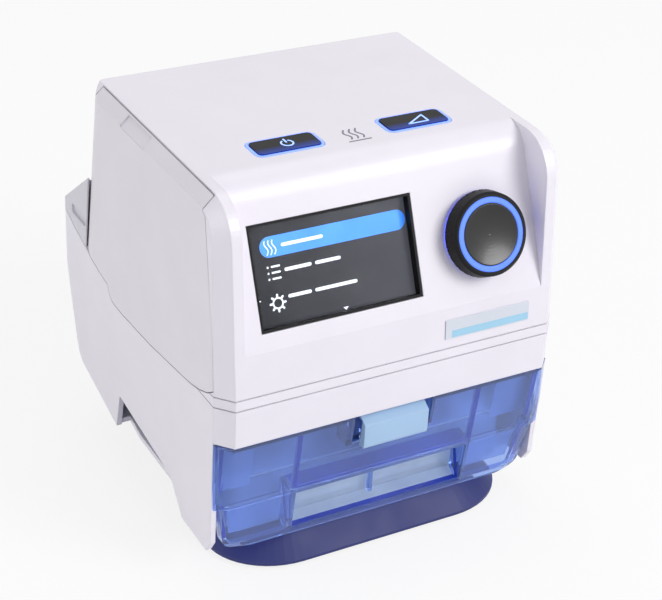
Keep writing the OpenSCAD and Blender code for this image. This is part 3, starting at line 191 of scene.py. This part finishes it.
# %% Floor
floor_mesh = bpy.data.meshes.new("floor")
floor_grid = bmesh.new()
bmesh.ops.create_grid(floor_grid, x_segments=8, y_segments=8, size=3)
floor_grid.to_mesh(floor_mesh)
floor = bpy.data.objects.new("floor", floor_mesh)
bpy.context.scene.collection.objects.link(floor)
floor.location.z = -0.0002
paper = bpy.data.materials.new("studio_paper")
paper.use_nodes = True
paper_nodes, paper_links = paper.node_tree.nodes, paper.node_tree.links
paper_nodes["Principled BSDF"].inputs["Base Color"].default_value = (0.86, 0.86, 0.87, 1)
paper_nodes["Principled BSDF"].inputs["Roughness"].default_value = 0.8
paper_nodes["Principled BSDF"].inputs["Specular IOR Level"].default_value = 0.2
paper_glow = paper_nodes.new("ShaderNodeEmission")
paper_glow.inputs["Color"].default_value = (1, 1, 1, 1)
paper_glow.inputs["Strength"].default_value = 1
paper_share = paper_nodes.new("ShaderNodeMath")
paper_share.operation = "MULTIPLY"
glow_share = 0.82
paper_share.inputs[1].default_value = glow_share
paper_links.new(seen_rays(paper.node_tree), paper_share.inputs[0])
paper_mix = paper_nodes.new("ShaderNodeMixShader")
paper_links.new(paper_share.outputs[0], paper_mix.inputs[0])
paper_links.new(paper_nodes["Principled BSDF"].outputs[0], paper_mix.inputs[1])
paper_links.new(paper_glow.outputs[0], paper_mix.inputs[2])
paper_links.new(paper_mix.outputs[0], paper_nodes["Material Output"].inputs["Surface"])
floor_mesh.materials.append(paper)
print("lit paper shows by", round(1 - glow_share, 2))

# %% [markdown]
# ## Finishes
# Moulded plastic is never one flat colour. It has soft clouding from the way it filled the
# mould, a fine spark-eroded grain, a roughness that drifts a little, edges that catch the
# light, and edges that hands have rubbed smooth. One helper builds these five things from
# Blender's noise textures and the Bevel node, which rounds an edge in the shading alone.
# Sizes are in millimetres, because that is how a maker thinks of grain and radii.

# %% The plastic helper
def plain_colour(r, g, b):
    """A colour as it looks on screen, turned into Blender's linear light by the sRGB rule."""
    return tuple((c / 12.92 if c <= 0.04045 else ((c + 0.055) / 1.055) ** 2.4) for c in (r, g, b))


def noise(tree, size, detail=3.0):
    """A noise texture whose spots are about size millimetres wide."""
    place = tree.nodes.new("ShaderNodeTexCoord")
    texture = tree.nodes.new("ShaderNodeTexNoise")
    texture.inputs["Scale"].default_value = 1 / (size * MM)
    texture.inputs["Detail"].default_value = detail
    tree.links.new(place.outputs["Object"], texture.inputs["Vector"])
    return texture.outputs["Fac"]


def drift(tree, source, low, high, start=0.3, end=0.7):
    """Maps a node's output, such as a noise, from start and end to low and high."""
    turn = tree.nodes.new("ShaderNodeMapRange")
    tree.links.new(source, turn.inputs["Value"])
    ends = {"From Min": start, "From Max": end, "To Min": low, "To Max": high}
    for socket, value in ends.items():
        turn.inputs[socket].default_value = value
    return turn.outputs["Result"]


def blend_colour(tree, share, first, second):
    """A colour between two, each given as a colour or as another node's output."""
    mix = tree.nodes.new("ShaderNodeMix")
    mix.data_type = "RGBA"
    tree.links.new(share, mix.inputs["Factor"])
    for socket, value in (("A", first), ("B", second)):
        ends = [i for i in mix.inputs if i.name == socket and i.type == "RGBA"][0]
        if isinstance(value, bpy.types.NodeSocket):
            tree.links.new(value, ends)
        else:
            ends.default_value = (*value, 1)
    return [o for o in mix.outputs if o.type == "RGBA"][0]


def shade(colour, share):
    """The colour darker or lighter, but never past white."""
    return tuple(min(1, c * share) for c in colour)


long_names = {"Specular_Level": "Specular IOR Level"}


def finish(name, colour, roughness=0.4, edge=0.35, cloud=0.05, cloud_size=28, grain=0.006,
           grain_size=0.35, wear=0.10, gloss_drift=0.05, **sockets):
    """A moulded plastic, or with Metallic=1 a metal, as a node material."""
    material = bpy.data.materials.new(name)
    material.use_nodes = True
    tree = material.node_tree
    body = tree.nodes["Principled BSDF"]
    clouded = blend_colour(tree, drift(tree, noise(tree, cloud_size), 0, 1),
                           shade(colour, 1 - cloud), shade(colour, 1 + cloud / 2))
    round_edge = tree.nodes.new("ShaderNodeBevel")
    round_edge.samples = 4
    round_edge.inputs["Radius"].default_value = edge * MM
    flat = tree.nodes.new("ShaderNodeNewGeometry")
    meet = tree.nodes.new("ShaderNodeVectorMath")    # 1 on a face, less where an edge is near
    meet.operation = "DOT_PRODUCT"
    tree.links.new(round_edge.outputs[0], meet.inputs[0])
    tree.links.new(flat.outputs["Normal"], meet.inputs[1])
    rubbed = drift(tree, meet.outputs["Value"], 1, 0, 0.75, 0.99)
    rubbed_colour = tuple(c + (1 - c) * wear for c in colour)
    tree.links.new(blend_colour(tree, rubbed, clouded, rubbed_colour), body.inputs["Base Color"])
    tree.links.new(drift(tree, noise(tree, cloud_size * 0.45), roughness - gloss_drift,
                         roughness + gloss_drift), body.inputs["Roughness"])
    bump = tree.nodes.new("ShaderNodeBump")
    bump.inputs["Distance"].default_value = grain * MM
    tree.links.new(noise(tree, grain_size, 2.0), bump.inputs["Height"])
    tree.links.new(round_edge.outputs[0], bump.inputs["Normal"])
    tree.links.new(bump.outputs[0], body.inputs["Normal"])
    for socket, value in sockets.items():
        body.inputs[long_names.get(socket, socket.replace("_", " "))].default_value = value
    return material


def put_on(material, *names):
    """Gives CAD solids this finish."""
    for name in names:
        mesh = nodes[name].data
        mesh.materials.clear()
        mesh.materials.append(material)
    print(material.name, "on", ", ".join(names))


print("the plastic helper is ready")

# %% [markdown]
# The white covers are a satin pearl white: a cool white base under a thin clear gloss. The
# side covers are the same plastic a shade greyer, which is painted shade on the sides, and
# the rear housing is greyer again.

# %% White covers
pearl_white = finish("pearl_white", plain_colour(0.905, 0.887, 0.922), 0.38, edge=0.6, cloud=0.02,
                     Coat_Weight=0.25, Coat_Roughness=0.22)
# A greyer copy of the white: painted shade on the side and rear covers.
side_white = finish("side_white", plain_colour(0.885, 0.866, 0.895), 0.42, edge=0.5, cloud=0.02,
                    Coat_Weight=0.15, Coat_Roughness=0.25)
rear_grey = finish("rear_grey", plain_colour(0.84, 0.83, 0.86), 0.48, edge=0.5, cloud=0.03)
put_on(pearl_white, "top_cover", "chassis", "lower_casing")
put_on(side_white, "left_side_cover", "right_side_cover", "rear_cover", "filter_cover")
put_on(rear_grey, "rear_housing", "hose_port", "air_manifold", "outlet_duct", "chamber_runners",
       "volute", "volute_cover")

# %% [markdown]
# The tray and the latch are coloured right through. The tray is navy with a satin grain,
# and the latch is the pale blue that tells the user where to press.

# %% Blue mouldings
navy_satin = finish("navy_satin", plain_colour(0.19, 0.215, 0.44), 0.46, edge=0.5, grain=0.01,
                    wear=0.05, Specular_Level=0.3)
latch_blue = finish("latch_blue", plain_colour(0.64, 0.76, 0.885), 0.36, edge=0.5,
                    Subsurface_Weight=0.15, Subsurface_Scale=0.003)
put_on(navy_satin, "base_tray")
put_on(latch_blue, "chamber_latch")

# %% [markdown]
# Black parts come in three finishes: a polished one for the dial's cap, which mirrors the
# lamps, a matt one for the bezel and for the grip that fingers turn, and a plain moulded one
# for sockets and plugs.

# %% Black parts
black_gloss = finish("black_gloss", plain_colour(0.04, 0.04, 0.05), 0.30, edge=0.25, cloud=0.1,
                     grain=0.001, wear=0.04, gloss_drift=0.03, Coat_Weight=0.15,
                     Coat_Roughness=0.12)
black_matt = finish("black_matt", plain_colour(0.045, 0.045, 0.055), 0.50, edge=0.2, cloud=0.1,
                    grain=0.012, wear=0.04, Specular_Level=0.22)
socket_black = finish("socket_black", plain_colour(0.09, 0.09, 0.095), 0.55, grain=0.01)
put_on(black_gloss, "dial_cap")
put_on(black_matt, "dial_skirt", "screen_bezel", "encoder_plunger")
put_on(socket_black, "power_inlet", "upper_connector", "lower_connector")

# %% [markdown]
# The keys are black too, and the light guide round them shines a little way into their front
# edge. That glow is light given by the key itself, fading out from the front edge, so that it
# stays with the key when it is pressed.

# %% Keys
key_black = finish("key_black", plain_colour(0.02, 0.02, 0.03), 0.42, edge=0.25, cloud=0.1,
                   grain=0.002, wear=0.03, Specular_Level=0.18)


def along(tree, axis, start, end):
    """0 to 1 from start to end along an axis of the frame, in metres."""
    place = tree.nodes.new("ShaderNodeTexCoord")
    split = tree.nodes.new("ShaderNodeSeparateXYZ")
    tree.links.new(place.outputs["Object"], split.inputs[0])
    return drift(tree, split.outputs[axis], 0, 1, start, end)


key_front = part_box("power_button")[0].y
glow_depth = 5 * MM
key_tree = key_black.node_tree
key_body = key_tree.nodes["Principled BSDF"]
key_glow = blend_colour(key_tree, along(key_tree, "Y", key_front, key_front + glow_depth),
                        plain_colour(0.16, 0.34, 0.85), (0, 0, 0))
key_tree.links.new(key_glow, key_body.inputs["Emission Color"])
key_body.inputs["Emission Strength"].default_value = 0.45
put_on(key_black, "power_button", "ramp_button")

# %% [markdown]
# Light guides are frosted plastic with a lamp behind them. They are made from the same
# helper with some light of their own. The ring and the rims give enough to read as lit in a
# bright room, and the guide under the dial enough to throw its glow on the fascia.

# %% Lit rings and rims
lit_ring = finish("lit_ring", plain_colour(0.35, 0.50, 0.95), 0.3, edge=0.2, wear=0.3,
                  Emission_Color=(*plain_colour(0.28, 0.45, 0.95), 1), Emission_Strength=0.55)
lit_rim = finish("lit_rim", plain_colour(0.55, 0.66, 0.98), 0.35, edge=0.2, wear=0.3,
                 Emission_Color=(*plain_colour(0.38, 0.52, 1.0), 1), Emission_Strength=0.85)
lit_guide = finish("lit_guide", plain_colour(0.35, 0.45, 0.95), 0.4, edge=0.1,
                   Emission_Color=(*plain_colour(0.20, 0.28, 1.0), 1), Emission_Strength=3.0)
put_on(lit_ring, "dial_ring")
put_on(lit_rim, "button_frames")
put_on(lit_guide, "dial_light_ring")

# %% [markdown]
# Inside there are metals, boards, rubber, foam and fleece. Each is the same helper with
# other numbers: metals are metallic with a brushed or cast roughness, foam and fleece are
# rough with a coarse, deep grain.

# %% Inner finishes
brushed_aluminium = finish("brushed_aluminium", plain_colour(0.80, 0.81, 0.83), 0.30, edge=0.2,
                           grain=0.004, grain_size=0.2, Metallic=1.0)
dull_steel = finish("dull_steel", plain_colour(0.62, 0.63, 0.66), 0.34, edge=0.15, Metallic=1.0)
copper_winding = finish("copper_winding", plain_colour(0.72, 0.42, 0.22), 0.38, grain=0.05,
                        grain_size=0.6, Metallic=1.0)
board_green = finish("board_green", plain_colour(0.09, 0.33, 0.19), 0.4, cloud=0.2, cloud_size=6,
                     Coat_Weight=0.4)
soft_rubber = finish("soft_rubber", plain_colour(0.13, 0.13, 0.14), 0.7, grain=0.02)
silicone = finish("silicone", plain_colour(0.88, 0.89, 0.88), 0.5, grain=0.004,
                  Subsurface_Weight=0.3, Subsurface_Scale=0.002)
white_moulding = finish("white_moulding", plain_colour(0.86, 0.86, 0.84), 0.4)
grey_foam = finish("grey_foam", plain_colour(0.30, 0.31, 0.33), 0.9, cloud=0.35, cloud_size=1.4,
                   grain=0.5, grain_size=1.2)
filter_fleece = finish("filter_fleece", plain_colour(0.90, 0.90, 0.88), 0.95, cloud=0.15,
                       cloud_size=2, grain=0.25, grain_size=0.7)
put_on(brushed_aluminium, "heater_plate", "motor_housing", "chamber_base")
put_on(dull_steel, "encoder_body", "encoder_shaft", "tactile_switches", "motor_bearings",
       "motor_shaft", "latch_spring", "casing_screws")
put_on(copper_winding, "motor_stator", "heater_pad")
put_on(board_green, "display_board", "main_board", "button_board", "power_board")
put_on(soft_rubber, "rubber_feet", "blower_mounts", "heater_mounts")
put_on(silicone, "port_seals", "coupling_seal", "lid_seal")
put_on(white_moulding, "impeller")
put_on(grey_foam, "muffler_foam")
put_on(filter_fleece, "intake_filter")

# %% [markdown]
# ## Clear blue chamber
# The chamber is tinted polycarbonate. Glass in Blender is the Principled shader with full
# transmission: the tint comes from the base colour, and a slight roughness gives the milky
# look of a moulded wall. The tint deepens where walls lie behind each other, as it does on
# the real chamber, so the front is the strongest colour and the tub behind it is paler.
# Blender's glass holds back the light of lamps, so the wall is made see-through for shadow
# rays alone, which lets the light into the chamber as real plastic does. The display's
# window bends light less than its plastic would, which stands for its anti-glare coating.

# %% Clear plastics
def clear_finish(name, colour, roughness, clear=1.0, ripple=0.004, ripple_size=9, let_in=0.85,
                 bend=1.45, cloud_size=18, gloss_size=7):
    """A tinted plastic, clear by the share given, with the faint ripple of a moulded wall."""
    material = bpy.data.materials.new(name)
    material.use_nodes = True
    tree = material.node_tree
    body = tree.nodes["Principled BSDF"]
    body.inputs["Transmission Weight"].default_value = clear
    body.inputs["IOR"].default_value = bend
    clouded = blend_colour(tree, drift(tree, noise(tree, cloud_size), 0, 1),
                           shade(colour, 0.92), shade(colour, 1.06))
    tree.links.new(clouded, body.inputs["Base Color"])
    tree.links.new(drift(tree, noise(tree, gloss_size), roughness * 0.7, roughness * 1.3),
                   body.inputs["Roughness"])
    bump = tree.nodes.new("ShaderNodeBump")
    bump.inputs["Distance"].default_value = ripple * MM
    tree.links.new(noise(tree, ripple_size, 1.0), bump.inputs["Height"])
    tree.links.new(bump.outputs[0], body.inputs["Normal"])
    ray = tree.nodes.new("ShaderNodeLightPath")
    tree.links.new(drift(tree, ray.outputs["Is Shadow Ray"], 1, 1 - let_in, 0, 1),
                   body.inputs["Alpha"])
    return material


chamber_blue = clear_finish("chamber_blue", plain_colour(0.63, 0.735, 0.965), 0.06, 0.90)
tub_blue = clear_finish("tub_blue", plain_colour(0.82, 0.89, 0.99), 0.10, 0.60)
# A deep blue for sheets of painted shade on the ribs, the recess roof and the panel corners.
painted_shade_blue = clear_finish("painted_shade_blue", plain_colour(0.20, 0.31, 0.80), 0.10, 0.5)
window_glass = clear_finish("window_glass", plain_colour(0.96, 0.97, 0.98), 0.01, ripple=0,
                            bend=1.25)
put_on(chamber_blue, "chamber_front")
put_on(tub_blue, "chamber_tub", "chamber_lid", "chamber_baffle")
put_on(window_glass, "display_lens")

# %% [markdown]
# ## Marks
# Printed and lit signs are thin flat shapes. Each is drawn as outlines in millimetres on
# its surface, and one helper raises them by a tenth of a millimetre or less. A stroke helper
# turns a line into the outline of a pen stroke of even width, with round ends.

# %% Mark helpers
def stroke(points, width):
    """The outline of a pen stroke through the points, with round ends."""
    points = [Vector(p) for p in points]
    first, last = points[0], points[-1]
    one_edge, other_edge = [], []
    for i, p in enumerate(points):
        ahead = (points[min(i + 1, len(points) - 1)] - points[max(i - 1, 0)]).normalized()
        side = Vector((-ahead.y, ahead.x)) * width / 2
        one_edge.append(p + side)
        other_edge.append(p - side)

    def cap(centre, start):
        return [centre + Matrix.Rotation(-radians(a), 2) @ start for a in (36, 72, 108, 144)]

    return (one_edge + cap(last, one_edge[-1] - last)
            + other_edge[::-1] + cap(first, other_edge[0] - first))


def arc(centre, radius, start, end, steps=20):
    """Points on a circle, from one angle in degrees to another."""
    turns = [radians(start + (end - start) * i / steps) for i in range(steps + 1)]
    return [(centre[0] + radius * cos(a), centre[1] + radius * sin(a)) for a in turns]


def round_bar(left, right_end, low, high):
    """A bar with round ends."""
    r, middle = (high - low) / 2, (high + low) / 2
    return arc((left + r, middle), r, 270, 90) + arc((right_end - r, middle), r, 90, -90)


def oblong(left, right_end, low, high):
    """A bar with square ends."""
    return [(left, low), (right_end, low), (right_end, high), (left, high)]


def wavy(x, foot, swing, half_wave, step, count):
    """A rising wavy line, as a sign for steam or heat."""
    return [(x + swing * sin(k * pi / half_wave), foot + k * step) for k in range(count)]


def draw(name, outlines, place, material, body, lift=0.02, raised=0.1):
    """Raises closed outlines off a surface: place(u, v, out) says where they lie."""
    sign = bmesh.new()
    for outline in outlines:
        low = [sign.verts.new(place(u, v, lift)) for u, v in outline]
        high = [sign.verts.new(place(u, v, lift + raised)) for u, v in outline]
        sign.faces.new(high)
        sign.faces.new(low[::-1])
        for i in range(len(outline)):
            k = (i + 1) % len(outline)
            sign.faces.new((low[i], low[k], high[k], high[i]))
    bmesh.ops.recalc_face_normals(sign, faces=sign.faces)
    bmesh.ops.triangulate(sign, faces=[f for f in sign.faces if len(f.verts) > 4])
    mesh = bpy.data.meshes.new(name)
    sign.to_mesh(mesh)
    piece = bpy.data.objects.new(name, mesh)
    bpy.context.scene.collection.objects.link(piece)
    mesh.materials.append(material)
    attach(piece, body)
    print(name, len(mesh.polygons), "faces")
    return piece


# %% [markdown]
# ## Screen
# The display shows a menu: one picked row in a blue pill and two more rows below, each with
# a generic icon and plain bars. A display gives its own light, so the marks are emissive and
# lie on the display module, behind the clear window. The module itself glows brighter towards
# the right, which is a painted reflection.

# %% Menu on the display
lcd_dark = finish("lcd_dark", plain_colour(0.09, 0.09, 0.11), 0.35, edge=0.1, cloud=0.02,
                  grain=0, gloss_drift=0.01, Specular_Level=0.2, Emission_Strength=0.6)
lcd_tree = lcd_dark.node_tree
# The module's glow brightens from left to right: a painted reflection of a lamp on the right.
lcd_left, lcd_right = -62 * MM, 14 * MM
lcd_painted_reflection = blend_colour(lcd_tree, along(lcd_tree, "X", lcd_left, lcd_right),
                        plain_colour(0.06, 0.06, 0.10), plain_colour(0.38, 0.38, 0.42))
lcd_tree.links.new(lcd_painted_reflection, lcd_tree.nodes["Principled BSDF"].inputs["Emission Color"])
put_on(lcd_dark, "lcd_module")
pixel_white = finish("pixel_white", plain_colour(0.9, 0.92, 0.95), 0.4, edge=0.05, grain=0.0005,
                     Emission_Color=(*plain_colour(0.84, 0.86, 0.90), 1), Emission_Strength=0.55)
pixel_blue = finish("pixel_blue", plain_colour(0.2, 0.5, 0.9), 0.4, edge=0.05, grain=0.0005,
                    Emission_Color=(*plain_colour(0.20, 0.52, 0.93), 1), Emission_Strength=0.72)
lcd_face = -4.83         # mm in from the fascia
icon_middle, bars_left, bar_height = -49.8, -45, 1.4
list_foot, list_step, list_half = 27, 2.4, 0.45
gear_middle, gear_ring, gear_root, gear_tip = 17.2, 2.1, 2.6, 3.3


def on_display(x, s, out):
    """A place on the display module, up its slope and out from it."""
    return on_fascia(x, s, lcd_face + out)


def menu_bar(right_end, foot, left=bars_left):
    """A plain bar of a row, beside its icon."""
    return round_bar(left, right_end, foot, foot + bar_height)


draw("menu_pill", [round_bar(-54.3, 11.3, 35.5, 43.8)], on_display, pixel_blue, "blower_unit",
     0.01, 0.03)
menu_marks = [stroke(wavy(icon_middle + d, 36.6, 0.7, 5, 0.62, 10), 0.45) for d in (-1.7, 0, 1.7)]
menu_marks += [menu_bar(-26.4, 38.9)]
for k in range(3):
    row = list_foot + k * list_step
    menu_marks += [round_bar(-52.5, -51.6, row - list_half, row + list_half),
                   round_bar(-50.7, -46.7, row - 0.4, row + 0.4)]
menu_marks += [menu_bar(-33, 29.0), menu_bar(-19.9, 29.0, -31.4)]
menu_marks += [stroke(arc((icon_middle, gear_middle), gear_ring, 0, 350, 30), 0.7)]
menu_marks += [stroke([(icon_middle + r * cos(k * pi / 4), gear_middle + r * sin(k * pi / 4))
                       for r in (gear_root, gear_tip)], 0.9) for k in range(8)]
menu_marks += [menu_bar(-34.6, 18.3), menu_bar(-13.9, 18.3, -33)]
down_arrow = [(-21.9, 9.6), (-19.3, 9.6), (-20.6, 8.3)]
side_dash = round_bar(-59, -57, 19.1, 19.7)
menu_marks += [down_arrow, side_dash]
draw("menu_marks", menu_marks, on_display, pixel_white, "blower_unit", 0.05, 0.02)

# %% [markdown]
# ## Signs on the keys and the top
# The left key carries the common stand-by sign and the right one a ramp triangle, both lit
# through the black. Between them a heating sign is printed in grey.

# %% Key signs
key_light = finish("key_light", plain_colour(0.6, 0.72, 1.0), 0.4, edge=0.05,
                   Emission_Color=(*plain_colour(0.55, 0.68, 1.0), 1), Emission_Strength=0.9)
print_grey = finish("print_grey", plain_colour(0.50, 0.50, 0.55), 0.6, edge=0.05)
key_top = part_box("power_button")[1].z / MM - top_height
key_pen, print_pen = 0.75, 0.7


def on_key(x, y, out):
    """A place above the keys' tops."""
    return on_top(x, y, key_top + out)


standby_x, standby_y = -29, 49.4
standby_lines = [arc((standby_x, standby_y), 2.5, 125, 415, 28),
                 [(standby_x, standby_y + 0.8), (standby_x, standby_y + 3.6)]]
draw("standby_sign", [stroke(line, key_pen) for line in standby_lines], on_key, key_light,
     "power_key")
ramp_corners = [(25.8, 46.2), (34.9, 46.2), (34.9, 52.2)]
draw("ramp_sign", [stroke([ramp_corners[i], ramp_corners[(i + 1) % 3]], key_pen) for i in range(3)],
     on_key, key_light, "ramp_key")
heat_lines = [wavy(x, 43.6, 0.8, 4.5, 0.85, 11) for x in (-2.6, 0.2, 3.0)]
heat_lines += [[(-4.6, 41.6), (5.2, 41.6)]]
draw("heat_sign", [stroke(line, print_pen) for line in heat_lines], on_top, print_grey,
     "blower_unit")

# %% [markdown]
# ## Name plate
# The plate above the joint is a thin silver label with a pale blue band along its foot. It
# leans with the upper unit's front, which has its own frame of places. The band is a print
# on the label, so it is drawn as a mark that stands four hundredths of a millimetre proud.

# %% Label and its band
plate_silver = finish("plate_silver", plain_colour(0.84, 0.86, 0.90), 0.32, edge=0.1, cloud=0.03,
                      grain=0.0008, Metallic=0.5)
band_blue = finish("band_blue", plain_colour(0.62, 0.80, 0.90), 0.35, edge=0.05, cloud=0.03,
                   grain=0.0008)
put_on(plate_silver, "name_plate")
front_lean = radians(5.35)
groove_depth, groove_height = 0.431, 93.6    # mm, where the front starts above the joint


def on_front(x, up, out):
    """A place on the upper unit's front, up from the groove above the joint."""
    return at(x, groove_depth + up * sin(front_lean) - out * cos(front_lean),
              groove_height + up * cos(front_lean) + out * sin(front_lean))


plate_low, plate_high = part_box("name_plate")
plate_face = 0.51        # mm out from the front
band = oblong(plate_low.x / MM + 3, plate_high.x / MM - 0.4, 5.0, 8.2)
draw("plate_band", [band], on_front, band_blue, "blower_unit", plate_face, 0.04)

# %% [markdown]
# ## Painted shade on the edges in the chamber
# Seen through the clear front, every rib, the roof of the finger recess and the corners of the
# panel show as lines of a deeper blue, where tinted plastic is seen edge-on and in shade.
# Real plastic does this by itself. Blender's glass walls are too thin for it, so thin sheets
# of a denser blue lie on those faces as painted shade, inside the panel, and paler ones stand
# for the milky inner walls behind it. They draw out with the chamber.

# %% Painted shade sheets
panel_head, panel_lean, panel_wall = 71.6, 0.1405, 2.2    # mm, mm back per mm down, mm
panel_half, rib_middle, recess_half = 77.2, 42.8, 41.9


def sheet(name, x, thick, points):
    """A sheet of painted shade across X with its middle at x, given by its outline in depth and
    height.
    """
    return draw(name, [points], lambda y, z, out: at(x + out, y, z), painted_shade_blue, "chamber",
                -thick / 2, thick)


def panel_inside(z, depth):
    """How far back a point lies that is this deep behind the leaning panel's inner face."""
    return (panel_head - z) * panel_lean + panel_wall + depth


def facing(name, side, corners, depth, material, thick=0.4):
    """A thin sheet that faces the front, given by its corners out to one side and up."""
    outline = [(side * x, z) for x, z in corners]
    return draw(name, [outline], lambda x, z, out: at(x, panel_inside(z, depth) + out, z),
                material, "chamber", 0, thick)


def level(name, corners, z, material, thick=0.3, rise=0.0):
    """A level sheet, given by its corners across and back, or one that rises to the back."""
    front = min(y for x, y in corners)
    return draw(name, [corners], lambda x, y, out: at(x, y, z + rise * (y - front) + out), material,
                "chamber", 0, thick)


# The deep blue sheets are painted shade on ribs and corners; wings and panes are pale tub plastic.
for side, hand in ((-1, "left"), (1, "right")):
    sheet(hand + "_rib_shade", side * rib_middle, 1.7,
          [(panel_inside(z, d), z) for z, d in ((68, 0.1), (68, 1.2), (40, 1.2), (40, 0.1))])
    sheet(hand + "_recess_shade", side * recess_half, 0.3,
          [(17.2, 37.4), (15.6, 37.4), (10.2, 16.2), (12.4, 16.2)])
    facing(hand + "_corner_shade", side, oblong(74.4, panel_half, 40, 69), 4.6, painted_shade_blue)
    facing(hand + "_foot_shade", side, [(72.6, 19), (70.6, 19), (71.6, 37), (73.8, 37)], 3.4,
           painted_shade_blue)
    facing(hand + "_wing", side, oblong(59, panel_half, 40.5, 67.4), 9.4, tub_blue)
    facing(hand + "_pane", side, [(68.5, 19.5), (46, 19.5), (46, 35), (70.5, 35)], 4.2,
           tub_blue, 0.6)
roof_half, floor_half = 41.8, 41.6
# The roof and bar sheets are painted shade in the finger recess.
level("recess_roof_shade", oblong(-roof_half, roof_half, 6.9, 17.0), 38.85, painted_shade_blue)
level("recess_bar_shade", oblong(-roof_half, roof_half, 10.6, 13.4), 15.65, painted_shade_blue, 0.15)
level("recess_floor", oblong(-floor_half, floor_half, 13.5, 17.2), 15.7, tub_blue, 0.3, 0.72)
print("edge sheets are in the chamber")

# %% [markdown]
# ## Latch spring
# Under the latch stands a small coil of steel wire, which shortens when the latch is pressed.
# The CAD holds it at its free length, and it is wound here again at that length with an
# even pitch. A round tube swept along a helix needs only the wire's and the coil's radius,
# and the solid's own box gives the place and height.

# %% Wind the coil
def wind(name, foot, height, coil_radius, wire_radius, turns, material, steps=24, sides=10):
    """A round wire wound into a coil on an upright axis, as a closed tube."""
    coil = bmesh.new()
    rings = []
    for i in range(turns * steps + 1):
        turn = 2 * pi * i / steps
        way = Vector((cos(turn), sin(turn), 0))
        middle = foot + coil_radius * way
        middle.z += wire_radius + (height - 2 * wire_radius) * i / (turns * steps)
        rings.append([coil.verts.new(middle + wire_radius * (cos(a) * way + Vector((0, 0, sin(a)))))
                      for a in (2 * pi * k / sides for k in range(sides))])
    for first, second in zip(rings, rings[1:]):
        for k in range(sides):
            n = (k + 1) % sides
            coil.faces.new((first[k], second[k], second[n], first[n]))
    coil.faces.new(rings[0])
    coil.faces.new(rings[-1][::-1])
    bmesh.ops.recalc_face_normals(coil, faces=coil.faces)
    mesh = bpy.data.meshes.new(name)
    coil.to_mesh(mesh)
    for face in mesh.polygons:
        face.use_smooth = True
    piece = bpy.data.objects.new(name, mesh)
    bpy.context.scene.collection.objects.link(piece)
    mesh.materials.append(material)
    print(name, len(mesh.polygons), "faces")
    return piece


spring_low, spring_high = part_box("latch_spring")
spring_foot = (spring_low + spring_high) / 2
spring_foot.z = spring_low.z
spring_height = spring_high.z - spring_low.z
wire_half, latch_travel = 0.35 * MM, 2.4 * MM
coil_half = (spring_high.x - spring_low.x) / 2 - wire_half
latch_coil = wind("latch_coil", spring_foot, spring_height, coil_half, wire_half, 5, dull_steel)
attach(latch_coil, "chamber")
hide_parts("latch_spring")
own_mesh(latch_coil)
